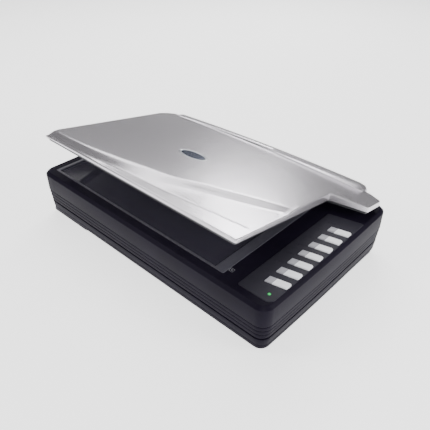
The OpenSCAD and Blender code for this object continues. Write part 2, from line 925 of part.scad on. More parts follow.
module on_lid() {
  translate([0, hinge_y, hinge_z])
    rotate([-lid_open, 0, 0])
      translate([0, -hinge_y, -hinge_z])
        children();
}

// Plan outline of the lid, drawn in by an inset.
function lid_path(inset) =
  let (i = inset)
  rounded_path(
    [
      [lid_x0 + i, lid_front + i], [lid_notch_x - i, lid_front + i], [lid_notch_x - i, notch_y + i],
      [lid_x1 - i, arm_y + i], [lid_x1 - i, arm_back - 12], [spine_x1 + 10, arm_back - i],
      [spine_x0 - 14, arm_back - i], [lid_x0 + i, arm_back - 30]
    ],
    [6, 4, 1.5, 3, 8, 6, 10, 14]
  );

// Plan outline of the raised spine along the hinge.
function spine_path(inset) =
  rect_path(spine_x0 + inset, spine_y0 + inset, spine_x1 - inset, lid_back - inset, 9);

// Crown of the lid seen from the front: a wide arc, highest a little left of the middle.
crown_x = -20;
crown_half = lid_x1 - crown_x;
crown_r = (crown_half * crown_half + side_drop * side_drop) / (2 * side_drop);
module arc_solid(x, top, r) {
  translate([x, half_d + 50, shell_z + top - r])
    rotate([90, 0, 0])
      cylinder(r = r, h = body_d + 100, $fn = 1440);
}

// Front view of the spine, with its right end sloping down to the arm.
module spine_ends(inset, drop) {
  x1 = spine_x1 - inset;
  z0 = shell_z - drop;
  translate([0, half_d + 50, 0])
    rotate([90, 0, 0])
      linear_extrude(height = body_d + 100)
        polygon([
          [spine_x0 - 20, shell_z - 60], [x1, shell_z - 60], [x1, z0 + spine_end_h],
          [x1 - 5, z0 + spine_end_h + 5], [x1 - 12, z0 + spine_end_h + 10], [x1 - 30, z0 + spine_end_h + 16],
          [spine_x0 - 20, z0 + spine_end_h + 16]
        ]);
}

// Side view of the lid: front face, slope up to the ridge, plateau.
module side_profile(drop) {
  translate([lid_x0 - 20, 0, 0])
    rotate([90, 0, 90])
      linear_extrude(height = body_w + 40)
        polygon([
          [lid_front - 5, shell_z - 20], [lid_front - 5, shell_z + front_h - drop - 1],
          [lid_front, shell_z + front_h - drop],
          [lid_front + ridge_run, shell_z + lid_crown - ridge_drop - drop],
          [lid_front + ridge_run + ridge_ease, shell_z + lid_crown - drop],
          [half_d + 20, shell_z + lid_crown - drop],
          [half_d + 20, shell_z - 20]
        ]);
}

// What the slanting step takes away: everything above a short steep face and a long gentle slope.
module step_cut(drop) {
  h = step_foot_h - drop;
  translate([step_foot.x, step_foot.y, shell_z])
    rotate([0, 0, step_turn])
      translate([-400, 0, 0])
        rotate([90, 0, 90])
          linear_extrude(height = 600)
            polygon([
              [0, h], [-step_reach, h - step_reach * step_fall], [-step_reach, step_top],
              [(step_top - h) / step_slope, step_top]
            ]);
}

// The back of the spine leans forwards, so that the open lid stays within the depth of the body.
module back_lean(inset) {
  translate([lid_x0 - 20, 0, 0])
    rotate([90, 0, 90])
      linear_extrude(height = body_w + 40)
        polygon([
          [lid_front - 50, shell_z - 30], [lid_back - inset, shell_z - 30], [lid_back - inset, shell_z],
          [lid_back - inset - 4.2, shell_z + spine_top_h], [lid_back - inset - 4.2, shell_z + 60],
          [lid_front - 50, shell_z + 60]
        ]);
}

module lid_form(inset, drop, z0) {
  difference() {
    intersection() {
      slab(lid_path(inset), z0, shell_z + 40);
      arc_solid(crown_x, lid_crown - drop, crown_r);
      side_profile(drop);
    }
    step_cut(drop);
  }
  intersection() {
    slab(spine_path(inset), z0, shell_z + 40);
    arc_solid(spine_peak_x, spine_top_h - drop, spine_r);
    spine_ends(inset, drop);
    back_lean(inset);
  }
}

module leg_slots(grow) {
  for (s = [-1, 1])
    block(s * hinge_x - leg_w / 2 - grow, leg_y0 - 2, shell_z - 20,
      s * hinge_x + leg_w / 2 + grow, half_d + 5, shell_z + 8);
}

module lid_shell() {
  color([0.76, 0.75, 0.77])
    on_lid()
      difference() {
        lid_form(0, 0, shell_z);
        difference() {
          lid_form(lid_wall, lid_wall, shell_z - 1);
          for (p = lid_screw_points)
            rod_z(p.x, p.y, shell_z, shell_z + 40, 3.5);
        }
        for (p = lid_screw_points)
          rod_z(p.x, p.y, shell_z - 1, shell_z + 5, screw_r);
        leg_slots(5);
        badge_disc(0.15, -badge_sink, 5);
      }
}

pad_x0 = window_x0 + 1.5;
pad_x1 = window_x1 - 1.5;
pad_y0 = window_y0 + 1.5;
pad_y1 = window_y1 - 1.5;
liner_web_z = shell_z - 3.5;
liner_inset = 5;
pad_bottom = glass_top + 0.6;

module lid_liner() {
  liner_back = hinge_y + 2;
  color([0.42, 0.42, 0.45])
    on_lid()
      difference() {
        intersection() {
          union() {
            slab(lid_path(1.2), shell_z - 1.5, shell_z);
            slab(lid_path(liner_inset), shell_z - liner_h, shell_z - 1.4);
          }
          block(lid_x0, lid_front, shell_z - 20, lid_x1, liner_back, shell_z + 20);
        }
        slab(lid_path(liner_inset + 2.5), shell_z - 1.5, shell_z + 1);
        block(pad_x0 - 0.3, pad_y0 - 0.3, shell_z - 20, pad_x1 + 0.3, pad_y1 + 0.3, liner_web_z);
        leg_slots(5);
        for (p = lid_screw_points) {
          rod_z(p.x, p.y, shell_z - 20, shell_z + 5, screw_r + 0.2);
          rod_z(p.x, p.y, shell_z - 20, shell_z - 3.5, 3.2);
        }
      }
}

module document_pad() {
  color([0.96, 0.96, 0.95])
    on_lid()
      slab(rect_path(pad_x0, pad_y0, pad_x1, pad_y1, 3), pad_bottom, liner_web_z);
}

// Blank oval badge, set into a shallow seat in the shell.
badge_p = [-36, -3];
badge_half = 36;
badge_ratio = 0.56;
badge_sink = 0.4;
module badge_disc(grow, z0, z1) {
  translate([badge_p.x, badge_p.y, shell_z + lid_crown + z0])
    scale([1, badge_ratio, 1])
      cylinder(r = badge_half + grow, h = z1 - z0);
}

module lid_badge() {
  color([0.85, 0.86, 0.88])
    on_lid()
      badge_disc(0, -badge_sink, 0.8);
}

lid_screw_points = [[-292, -160], [212, -160], [-292, 130], [286, 150]];
module lid_screws() {
  color([0.6, 0.6, 0.62])
    on_lid()
      for (p = lid_screw_points) {
        rod_z(p.x, p.y, shell_z - 5, shell_z - 3.5, 3);
        rod_z(p.x, p.y, shell_z - 3.5 - eps, shell_z + 4, screw_r);
      }
}

// Height of the spine's inner face above the shell's lower edge at x.
function spine_inner_h(x) = spine_top_h - lid_wall - (x - spine_peak_x) * (x - spine_peak_x) / (2 * spine_r);

// Steel ears under the lid, one each side of a leg's knuckle.
module hinge_brackets() {
  color([0.6, 0.62, 0.64])
    on_lid()
      for (s = [-1, 1], side = [-1, 1]) {
        x = s * hinge_x + side * (leg_w / 2 + 2.4) - 1.5;
        difference() {
          union() {
            rod_x(x, x + 3, hinge_y, hinge_z, 4.6);
            block(x, hinge_y - 4.6, hinge_z, x + 3, hinge_y, shell_z + spine_inner_h(x + 1.5) - 0.08);
          }
          rod_x(x - 1, x + 4, hinge_y, hinge_z, pin_r);
        }
      }
}

module hinge_pins() {
  color([0.75, 0.76, 0.78])
    for (s = [-1, 1])
      rod_x(s * hinge_x - leg_w / 2 - 4.4, s * hinge_x + leg_w / 2 + 4.4, hinge_y, hinge_z, pin_r);
}

// Legs that slide up out of the body when something thick lies on the glass.
module hinge_legs() {
  color([0.2, 0.2, 0.22])
    for (s = [-1, 1])
      difference() {
        union() {
          block(s * hinge_x - leg_w / 2, leg_y0, leg_bottom, s * hinge_x + leg_w / 2, leg_y1, hinge_z + 3);
          rod_x(s * hinge_x - leg_w / 2, s * hinge_x + leg_w / 2, hinge_y, hinge_z, knuckle_r);
        }
        rod_x(s * hinge_x - leg_w, s * hinge_x + leg_w, hinge_y, hinge_z, pin_r + pin_play);
      }
}

// ---- fasteners ----
module case_screws() {
  color([0.5, 0.5, 0.52])
    for (p = boss_points) {
      rod_z(p.x, p.y, 17.8, 20, 3);
      rod_z(p.x, p.y, 20 - eps, 54, screw_r);
    }
}

module motor_screws() {
  color([0.5, 0.5, 0.52]) {
    for (p = motor_screw_points) {
      rod_z(p.x, p.y, motor_plate_z - 1.6, motor_plate_z, 2.6);
      rod_z(p.x, p.y, motor_plate_z - eps, motor_plate_z + 6, 1.5);
    }
    for (p = bracket_screw_points) {
      rod_z(p.x, p.y, floor_z + 1.5, floor_z + 3.1, 2.6);
      rod_z(p.x, p.y, floor_z - 2, floor_z + 1.5 + eps, board_screw_r);
    }
  }
}

module board_screws() {
  color([0.5, 0.5, 0.52]) {
    for (p = main_board_holes) {
      rod_z(p.x, p.y, board_z + board_t, board_z + board_t + 1.6, 2.4);
      rod_z(p.x, p.y, floor_z + 1, board_z + board_t + eps, board_screw_r);
    }
    for (p = key_board_posts) {
      rod_z(p.x, p.y, key_board_z - 1.6, key_board_z, 2.4);
      rod_z(p.x, p.y, key_board_z - eps, key_board_z + 8, board_screw_r);
    }
  }
}

bottom_cover();
upper_cover();
control_panel();
platen_frame();
platen_glass();
alignment_mark();
calibration_strip();
feet();
status_lamp();
key_board();
key_switches();
main_board();
board_parts();
usb_socket();
power_inlet();
switch_housing();
power_rocker();
guide_rod();
rod_clips();
support_rail();
motor_bracket();
stepper_motor();
motor_pinion();
drive_gear();
gear_post();
drive_belt();
idler_pulley();
idler_plate();
tension_spring();
ribbon_cable();
carriage_housing();
carriage_top();
rod_bushes();
slider_foot();
belt_clamp();
scan_lamp();
lamp_reflector();
mirrors();
lens();
sensor_board();
hinge_legs();
hinge_pins();
hinge_brackets();
lid_shell();
lid_liner();
document_pad();
lid_badge();
lid_screws();
case_screws();
motor_screws();
board_screws();
for (i = [1:key_count])
  key_cap(i);
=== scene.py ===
import json
import math

import bmesh
import bpy
import numpy as np
from mathutils import Matrix, Vector
from mathutils.geometry import delaunay_2d_cdt


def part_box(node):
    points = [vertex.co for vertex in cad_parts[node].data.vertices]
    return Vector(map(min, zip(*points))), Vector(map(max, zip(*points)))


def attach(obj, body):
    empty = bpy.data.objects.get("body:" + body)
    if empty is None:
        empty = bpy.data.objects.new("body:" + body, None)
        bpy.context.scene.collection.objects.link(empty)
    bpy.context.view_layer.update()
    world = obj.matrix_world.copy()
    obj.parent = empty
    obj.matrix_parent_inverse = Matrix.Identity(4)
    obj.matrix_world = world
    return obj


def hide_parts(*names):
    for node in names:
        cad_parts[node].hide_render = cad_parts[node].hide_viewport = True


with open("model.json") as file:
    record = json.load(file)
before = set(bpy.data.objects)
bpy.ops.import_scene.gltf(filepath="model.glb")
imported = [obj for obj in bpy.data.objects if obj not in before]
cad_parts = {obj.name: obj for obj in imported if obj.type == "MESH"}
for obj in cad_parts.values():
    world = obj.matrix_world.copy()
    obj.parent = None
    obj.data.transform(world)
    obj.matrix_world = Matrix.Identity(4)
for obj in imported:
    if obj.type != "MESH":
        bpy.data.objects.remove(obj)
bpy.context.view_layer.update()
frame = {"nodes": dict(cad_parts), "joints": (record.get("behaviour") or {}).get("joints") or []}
MM = 0.001
NODE = frame["nodes"]
JOINT = {j["name"]: j for j in frame["joints"]}


def mm_box(name):
    lo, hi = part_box(name)
    return [v / MM for v in lo], [v / MM for v in hi]


# ---------------------------------------------------------------- sizes read from the frame, in mm
COVER_LO, COVER_HI = mm_box("upper_cover")
HALF_W = COVER_HI[0]
HALF_D = COVER_HI[1]
TOP = COVER_HI[2]
PART = COVER_LO[2]
BLOCK_DROP = 5.0  # the foot blocks hang this far below the tray's floor
TRAY_Z = mm_box("bottom_cover")[0][2] + BLOCK_DROP
HINGE = [v / MM for v in JOINT["lid_hinge"]["pos_m"]]
OPEN = math.radians(-JOINT["lid_hinge"]["range_deg"][0])  # how far the lid stands open at rest
BULGE = 2.0  # the short ends of the body bow outwards by this
CORNER = 22.0
CX = HALF_W - BULGE - CORNER
CY = HALF_D - CORNER
END_R = (CY * CY + BULGE * BULGE) / (2 * BULGE)
BEVEL = 6.0
COVER_T = 3.0


# ---------------------------------------------------------------- materials
def nodes_of(name):
    m = bpy.data.materials.new(name)
    m.use_nodes = True
    nt = m.node_tree
    b = nt.nodes["Principled BSDF"]
    return m, nt, b


def link(nt, a, i, b, j):
    nt.links.new(a.outputs[i], b.inputs[j])


def noise(nt, coords, scale, detail=2.0, socket="Object"):
    n = nt.nodes.new("ShaderNodeTexNoise")
    n.inputs["Scale"].default_value = scale
    n.inputs["Detail"].default_value = detail
    link(nt, coords, socket, n, "Vector")
    return n


def ramp(nt, source, low, high, ends=(0.0, 1.0)):
    """Two-colour ramp driven by a noise."""
    r = nt.nodes.new("ShaderNodeValToRGB")
    for e, at, color in zip(r.color_ramp.elements, ends, (low, high)):
        e.position = at
        e.color = (*color, 1)
    link(nt, source, "Fac", r, "Fac")
    return r


def uneven_rough(nt, source, b, low, high):
    mr = nt.nodes.new("ShaderNodeMapRange")
    mr.inputs["To Min"].default_value = low
    mr.inputs["To Max"].default_value = high
    link(nt, source, "Fac", mr, "Value")
    link(nt, mr, "Result", b, "Roughness")


def relief(nt, source, b, strength, socket="Fac"):
    """Fine bump in the surface, 0.2 mm deep at most."""
    bp = nt.nodes.new("ShaderNodeBump")
    bp.inputs["Strength"].default_value = strength
    bp.inputs["Distance"].default_value = 0.0002
    link(nt, source, socket, bp, "Height")
    link(nt, bp, "Normal", b, "Normal")


def blend(nt, how, amount, a, b):
    mix = nt.nodes.new("ShaderNodeMix")
    mix.data_type = "RGBA"
    mix.blend_type = how
    mix.inputs["Factor"].default_value = amount
    link(nt, a, "Color", mix, "A")
    link(nt, b, "Fac", mix, "B")
    return mix


def plastic(name, color, rough=0.45, spec=0.4, grain=1400.0, bump=0.12, vary=0.12, metallic=0.0, cloud=14.0,
            rough_vary=0.08, coat=0.0):
    """Moulded plastic or paint: cloudy colour variation, fine grain in the bump, uneven roughness."""
    m, nt, b = nodes_of(name)
    b.inputs["Metallic"].default_value = metallic
    b.inputs["Specular IOR Level"].default_value = spec
    b.inputs["Coat Weight"].default_value = coat
    b.inputs["Coat Roughness"].default_value = 0.25
    tc = nt.nodes.new("ShaderNodeTexCoord")
    low = [max(0, c * (1 - vary)) for c in color]
    high = [min(1, c * (1 + vary)) for c in color]
    shade = ramp(nt, noise(nt, tc, cloud, 5), low, high, (0.3, 0.7))
    fine = noise(nt, tc, grain, 3)
    link(nt, blend(nt, "OVERLAY", min(0.5, vary), shade, fine), "Result", b, "Base Color")
    uneven_rough(nt, fine, b, max(0.02, rough - rough_vary), min(1, rough + rough_vary))
    relief(nt, fine, b, bump)
    return m


def brushed(name, color, rough=0.3, along=(0, 1, 1)):
    """Drawn or rolled metal: streaks along one axis."""
    m, nt, b = nodes_of(name)
    b.inputs["Metallic"].default_value = 1.0
    tc = nt.nodes.new("ShaderNodeTexCoord")
    mp = nt.nodes.new("ShaderNodeMapping")
    mp.inputs["Scale"].default_value = tuple(900.0 if a else 12.0 for a in along)
    link(nt, tc, "Object", mp, "Vector")
    streaks = noise(nt, mp, 1.0, 4, "Vector")
    shade = ramp(nt, streaks, [c * 0.75 for c in color], [min(1, c * 1.15) for c in color])
    link(nt, shade, "Color", b, "Base Color")
    uneven_rough(nt, streaks, b, max(0.05, rough - 0.1), rough + 0.12)
    relief(nt, streaks, b, 0.08)
    return m


def board_material():
    """Green circuit board with fine copper tracks and pads."""
    m, nt, b = nodes_of("m_board")
    b.inputs["Roughness"].default_value = 0.35
    tc = nt.nodes.new("ShaderNodeTexCoord")
    br = nt.nodes.new("ShaderNodeTexBrick")
    br.inputs["Scale"].default_value = 260.0
    br.inputs["Mortar Size"].default_value = 0.012
    br.inputs["Color1"].default_value = (0.015, 0.13, 0.055, 1)
    br.inputs["Color2"].default_value = (0.02, 0.16, 0.07, 1)
    br.inputs["Mortar"].default_value = (0.05, 0.3, 0.13, 1)
    link(nt, tc, "Object", br, "Vector")
    link(nt, blend(nt, "MULTIPLY", 0.5, br, noise(nt, tc, 90.0)), "Result", b, "Base Color")
    return m


def glass_material():
    """Platen glass: a thin, glossy pane whose dark colour is painted shade of the inside beneath it, with faint
    dust, and which lets some of the inside show.
    """
    m, nt, b = nodes_of("m_glass")
    b.inputs["IOR"].default_value = 1.5
    b.inputs["Specular IOR Level"].default_value = 0.05
    b.inputs["Alpha"].default_value = 0.9
    dust = noise(nt, nt.nodes.new("ShaderNodeTexCoord"), 7.0, 4)
    # painted shade: the pane's dark colour stands in for the shaded inside, and the dust noise only varies it a
    # little
    link(nt, ramp(nt, dust, (0.024, 0.022, 0.033), (0.034, 0.031, 0.045)), "Color", b, "Base Color")
    uneven_rough(nt, dust, b, 0.04, 0.12)
    return m


def lamp_material():
    """Green lens with a faint mottled glow."""
    m, nt, b = nodes_of("m_status")
    b.inputs["Roughness"].default_value = 0.2
    glow = ramp(nt, noise(nt, nt.nodes.new("ShaderNodeTexCoord"), 900.0), (0.01, 0.46, 0.08), (0.03, 0.66, 0.15))
    link(nt, glow, "Color", b, "Base Color")
    link(nt, glow, "Color", b, "Emission Color")
    b.inputs["Emission Strength"].default_value = 0.35
    return m


def foam_material():
    """White vinyl-faced foam sheet with a fine pebble and soft clouding."""
    m, nt, b = nodes_of("m_pad")
    b.inputs["Roughness"].default_value = 0.62
    b.inputs["Sheen Weight"].default_value = 0.25
    tc = nt.nodes.new("ShaderNodeTexCoord")
    pebble = nt.nodes.new("ShaderNodeTexVoronoi")
    pebble.inputs["Scale"].default_value = 900.0
    link(nt, tc, "Object", pebble, "Vector")
    link(nt, ramp(nt, noise(nt, tc, 11.0, 5), (0.70, 0.70, 0.69), (0.84, 0.84, 0.82)), "Color", b, "Base Color")
    relief(nt, pebble, b, 0.35, "Distance")
    return m


M = {
    "case": plastic("m_case", (0.0080, 0.0062, 0.0130), rough=0.44, spec=0.04, grain=1700, bump=0.25, vary=0.15),
    "panel": plastic("m_panel", (0.024, 0.0225, 0.031), rough=0.46, spec=0.12, grain=1700, bump=0.25, vary=0.12),
    "bezel": plastic("m_bezel", (0.05, 0.048, 0.063), rough=0.4, spec=0.4, grain=1500, bump=0.2, vary=0.12),
    "glass": glass_material(),
    "mark": plastic("m_mark", (0.16, 0.16, 0.18), rough=0.6, grain=900, bump=0.05),
    "white_strip": plastic("m_strip", (0.8, 0.8, 0.78), rough=0.6, grain=800, bump=0.05, vary=0.04),
    "rubber": plastic("m_rubber", (0.012, 0.012, 0.012), rough=0.85, spec=0.2, grain=700, bump=0.6, vary=0.3),
    "status": lamp_material(),
    "board": board_material(),
    "chip": plastic("m_chip", (0.02, 0.02, 0.021), rough=0.5, grain=1100, bump=0.2, vary=0.25),
    "socket_metal": brushed("m_socket", (0.62, 0.63, 0.65), 0.28, along=(1, 0, 1)),
    "socket": plastic("m_socket_black", (0.014, 0.014, 0.014), rough=0.38, grain=1500, bump=0.15, vary=0.2),
    "steel": brushed("m_rod", (0.62, 0.63, 0.64), 0.16, along=(0, 1, 1)),
    "sheet": brushed("m_sheet", (0.5, 0.51, 0.52), 0.36, along=(1, 0, 1)),
    "motor": brushed("m_motor", (0.12, 0.12, 0.13), 0.42, along=(1, 1, 0)),
    "nylon": plastic("m_nylon", (0.72, 0.71, 0.64), rough=0.42, grain=900, bump=0.08, vary=0.05),
    "brass": brushed("m_brass", (0.62, 0.45, 0.18), 0.28, along=(1, 1, 0)),
    "belt": plastic("m_belt", (0.016, 0.016, 0.016), rough=0.8, grain=420, bump=0.7, vary=0.3),
    "ribbon": plastic("m_ribbon", (0.66, 0.66, 0.7), rough=0.4, grain=1300, bump=0.1, vary=0.06),
    "carriage": plastic("m_carriage", (0.03, 0.03, 0.028), rough=0.6, grain=1000, bump=0.3, vary=0.2),
    "cover": plastic("m_cover", (0.10, 0.10, 0.072), rough=0.5, grain=1200, bump=0.2, vary=0.12, metallic=0.2),
    "slider": plastic("m_slider", (0.75, 0.75, 0.72), rough=0.3, grain=900, bump=0.05, vary=0.04),
    "tube": plastic("m_tube", (0.9, 0.92, 0.95), rough=0.12, grain=300, bump=0.02, vary=0.03),
    "foil": brushed("m_foil", (0.75, 0.77, 0.78), 0.2, along=(1, 0, 1)),
    "mirror": brushed("m_mirror", (0.8, 0.84, 0.88), 0.1, along=(0, 1, 0)),
    "lens": brushed("m_lens", (0.05, 0.05, 0.055), 0.35, along=(1, 0, 0)),
    "lid": plastic("m_lid", (0.59, 0.565, 0.603), rough=0.27, spec=0.5, grain=2600, bump=0.10, vary=0.035,
                   metallic=0.8, cloud=9.0, rough_vary=0.05, coat=0.12),
    "liner": plastic("m_liner", (0.045, 0.045, 0.05), rough=0.5, grain=1500, bump=0.25, vary=0.15),
    "pad": foam_material(),
    "badge": plastic("m_badge", (0.42, 0.43, 0.46), rough=0.3, grain=2000, bump=0.03, vary=0.04, metallic=0.9),
    "badge_face": plastic("m_badge_face", (0.07, 0.08, 0.115), rough=0.25, grain=1800, bump=0.03, vary=0.1,
                          metallic=0.6),
    "key": plastic("m_key", (0.93, 0.92, 0.96), rough=0.36, grain=1800, bump=0.08, vary=0.03),
    "key_grey": plastic("m_key_grey", (0.34, 0.335, 0.37), rough=0.38, grain=1800, bump=0.08, vary=0.04),
    "screw": brushed("m_screw", (0.34, 0.34, 0.36), 0.32, along=(1, 1, 0)),
}


# ---------------------------------------------------------------- mesh helpers
def smooth_shade(o, angle=32):
    for p in o.data.polygons:
        p.use_smooth = True
    o.data.update()
    bm = bmesh.new()
    bm.from_mesh(o.data)
    lim = math.radians(angle)
    for e in bm.edges:
        e.smooth = len(e.link_faces) == 2 and e.calc_face_angle(0) < lim
    bm.to_mesh(o.data)
    bm.free()


def new_object(name, bm, mats, body, replaces=(), angle=32, weld=0.002):
    """Makes a piece from a bmesh drawn in mm, welded and with its normals turned outwards."""
    bmesh.ops.remove_doubles(bm, verts=bm.verts, dist=weld)
    bmesh.ops.dissolve_degenerate(bm, edges=bm.edges, dist=0.0005)
    bmesh.ops.recalc_face_normals(bm, faces=bm.faces)
    bmesh.ops.scale(bm, vec=(MM, MM, MM), verts=bm.verts)
    me = bpy.data.meshes.new(name)
    bm.to_mesh(me)
    bm.free()
    o = bpy.data.objects.new(name, me)
    bpy.context.scene.collection.objects.link(o)
    for m in mats:
        me.materials.append(M[m])
    smooth_shade(o, angle)
    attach(o, body)
    if replaces:
        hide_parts(*replaces)
    return o


def turned(v, a):
    c, s = math.cos(a), math.sin(a)
    return (v[0] * c - v[1] * s, v[0] * s + v[1] * c)


def offset_path(points, radii, inset, steps=7, seg=12.0):
    """Outline drawn in by inset, corners rounded, straight runs cut up; the count doesn't depend on the inset."""
    n = len(points)
    P = [Vector(p) for p in points]
    out = []
    lines = []
    for i in range(n):
        a, b = P[i], P[(i + 1) % n]
        d = (b - a).normalized()
        nrm = Vector((-d.y, d.x))
        lines.append((a + nrm * inset, d))
    corners = []
    for i in range(n):
        (p0, d0), (p1, d1) = lines[i - 1], lines[i]
        cr = d0.x * d1.y - d0.y * d1.x
        t = ((p1.x - p0.x) * d1.y - (p1.y - p0.y) * d1.x) / cr
        c = p0 + d0 * t
        convex = cr > 0
        r = max(0.05, radii[i] - inset) if convex else radii[i] + inset
        half = (math.pi - math.acos(max(-1, min(1, d0.dot(d1))))) / 2
        cut = r / math.tan(half)
        start = c - d0 * cut
        centre = start + Vector((-d0.y, d0.x)) * (r if convex else -r)
        sweep = (math.pi - 2 * half) * (1 if convex else -1)
        arc = [centre + Vector(turned(start - centre, sweep * k / steps)) for k in range(steps + 1)]
        corners.append(arc)
    for i in range(n):
        arc = corners[i]
        nxt = corners[(i + 1) % n][0]
        out += arc
        length = (P[(i + 1) % n] - P[i]).length
        k = max(1, int(length / seg))
        a = arc[-1]
        out += [a + (nxt - a) * (j / k) for j in range(1, k)]
    return [(v.x, v.y) for v in out]


def body_path(inset, steps=9, seg=16.0):
    """Outline of the body: straight front and back, slightly convex short ends."""
    r = CORNER - inset
    out = []
    nx, ny = int(2 * CX / seg), int(2 * CY / seg)

    def end(y):
        return HALF_W - (END_R - math.sqrt(END_R * END_R - y * y)) - inset

    def arc(sx, sy, a0):
        for k in range(steps + 1):
            a = a0 + math.pi / 2 * k / steps
            out.append((sx * CX + r * math.cos(a), sy * CY + r * math.sin(a)))
    for k in range(1, nx):
        out.append((-CX + 2 * CX * k / nx, -HALF_D + inset))
    arc(1, -1, -math.pi / 2)
    for k in range(1, ny):
        y = -CY + 2 * CY * k / ny
        out.append((end(y), y))
    arc(1, 1, 0)
    for k in range(1, nx):
        out.append((CX - 2 * CX * k / nx, HALF_D - inset))
    arc(-1, 1, math.pi / 2)
    for k in range(1, ny):
        y = CY - 2 * CY * k / ny
        out.append((-end(y), y))
    arc(-1, -1, math.pi)
    return out


def fillet_profile(points, radius=0.5, steps=3):
    """Rounds the inner corners of an open profile of (inset, z) points."""
    P = [Vector(p) for p in points]
    out = [tuple(P[0])]
    for i in range(1, len(P) - 1):
        a, p, b = P[i - 1], P[i], P[i + 1]
        u, v = (a - p), (b - p)
        r = min(radius, u.length * 0.45, v.length * 0.45)
        u.normalize()
        v.normalize()
        s, e = p + u * r, p + v * r
        for k in range(steps + 1):
            t = k / steps
            q = s * (1 - t) ** 2 + p * (2 * t * (1 - t)) + e * t ** 2
            out.append((q.x, q.y))
    out.append(tuple(P[-1]))
    return out


def corners(x0, y0, x1, y1):
    return [(x0, y0), (x1, y0), (x1, y1), (x0, y1)]


def ring_verts(bm, path, z):
    if callable(z):
        return [bm.verts.new((x, y, z(x, y))) for x, y in path]
    return [bm.verts.new((x, y, z)) for x, y in path]


def bridge(bm, a, b, mat=0):
    """Wall between two rings with the same number of points."""
    n = len(a)
    for i in range(n):
        j = (i + 1) % n
        try:
            f = bm.faces.new((a[i], a[j], b[j], b[i]))
            f.material_index = mat
        except ValueError:
            pass


def stack(bm, rings):
    for a, b in zip(rings, rings[1:]):
        bridge(bm, a, b)


def block(bm, points, radii, profile, steps, seg):
    """Closed solid: the outline drawn in by each inset of the profile at its height, with both ends capped."""
    rings = [ring_verts(bm, offset_path(points, radii, d, steps, seg), z) for d, z in profile]
    stack(bm, rings)
    bm.faces.new(rings[0][::-1])
    bm.faces.new(rings[-1])


def inside(poly, pts):
    """Which of the points lie inside the outline."""
    poly = np.asarray(poly, float)
    pts = np.asarray(pts, float)
    x, y = pts[:, 0], pts[:, 1]
    res = np.zeros(len(pts), bool)
    n = len(poly)
    for i in range(n):
        x0, y0 = poly[i]
        x1, y1 = poly[(i + 1) % n]
        if y0 == y1:
            continue
        hit = ((y0 > y) != (y1 > y)) & (x < (x1 - x0) * (y - y0) / (y1 - y0) + x0)
        res ^= hit
    return res


def fill(bm, outer, holes, zf, extra=(), flip=False):
    """Triangulated cap inside outer and outside the holes, with extra points to follow a curved surface."""
    margin = 0.6  # extra points nearer than this to an outline are left out
    verts, edges = [], []
    for loop in [outer, *holes]:
        s = len(verts)
        verts += [Vector(p) for p in loop]
        edges += [(s + i, s + (i + 1) % len(loop)) for i in range(len(loop))]
    if len(extra):
        pts = np.asarray(extra, float)
        keep = inside(outer, pts)
        for h in holes:
            keep &= ~inside(h, pts)
        pts = pts[keep]
        border = np.array([tuple(v) for v in verts])
        d = np.min(((pts[:, None, :] - border[None]) ** 2).sum(2), axis=1) if len(pts) else np.zeros(0)
        verts += [Vector(p) for p in pts[d > margin * margin]]
    vo, _, faces, _, _, _ = delaunay_2d_cdt(verts, edges, [], 0, 1e-5)
    cen = np.array([[sum(vo[i][k] for i in f) / 3 for k in (0, 1)] for f in faces])
    ok = inside(outer, cen)
    for h in holes:
        ok &= ~inside(h, cen)
    vs = [bm.verts.new((v[0], v[1], zf(v[0], v[1]) if callable(zf) else zf)) for v in vo]
    for f, k in zip(faces, ok):
        if not k:
            continue
        try:
            bm.faces.new([vs[i] for i in (reversed(f) if flip else f)])
        except ValueError:
            pass
    loose = [v for v in vs if not v.link_faces]
    bmesh.ops.delete(bm, geom=loose, context="VERTS")


def cut_away(o, cutters):
    """Cuts closed meshes, given as bmeshes in mm, out of the object and keeps the result as its mesh."""
    for bmc in cutters:
        bmesh.ops.recalc_face_normals(bmc, faces=bmc.faces)
        bmesh.ops.scale(bmc, vec=(MM, MM, MM), verts=bmc.verts)
        me = bpy.data.meshes.new("cutter")
        bmc.to_mesh(me)
        bmc.free()
        c = bpy.data.objects.new("cutter", me)
        bpy.context.scene.collection.objects.link(c)
        md = o.modifiers.new("cut", "BOOLEAN")
        md.operation = "DIFFERENCE"
        md.solver = "EXACT"
        md.object = c
        bpy.context.view_layer.update()
        dg = bpy.context.evaluated_depsgraph_get()
        new = bpy.data.meshes.new_from_object(o.evaluated_get(dg))
        o.modifiers.clear()
        old = o.data
        o.data = new
        bpy.data.meshes.remove(old)
        bpy.data.objects.remove(c)
    return o


def box_bm(x0, y0, z0, x1, y1, z1):
    bm = bmesh.new()
    bmesh.ops.create_cube(bm, size=1.0)
    bmesh.ops.scale(bm, vec=(x1 - x0, y1 - y0, z1 - z0), verts=bm.verts)
    bmesh.ops.translate(bm, vec=((x0 + x1) / 2, (y0 + y1) / 2, (z0 + z1) / 2), verts=bm.verts)
    return bm


def rod_bm(x, y0, y1, z, r, n=40):
    bm = bmesh.new()
    bmesh.ops.create_cone(bm, cap_ends=True, segments=n, radius1=r, radius2=r, depth=y1 - y0,
                          matrix=Matrix.Translation((x, (y0 + y1) / 2, z)) @ Matrix.Rotation(math.pi / 2, 4, "X"))
    return bm


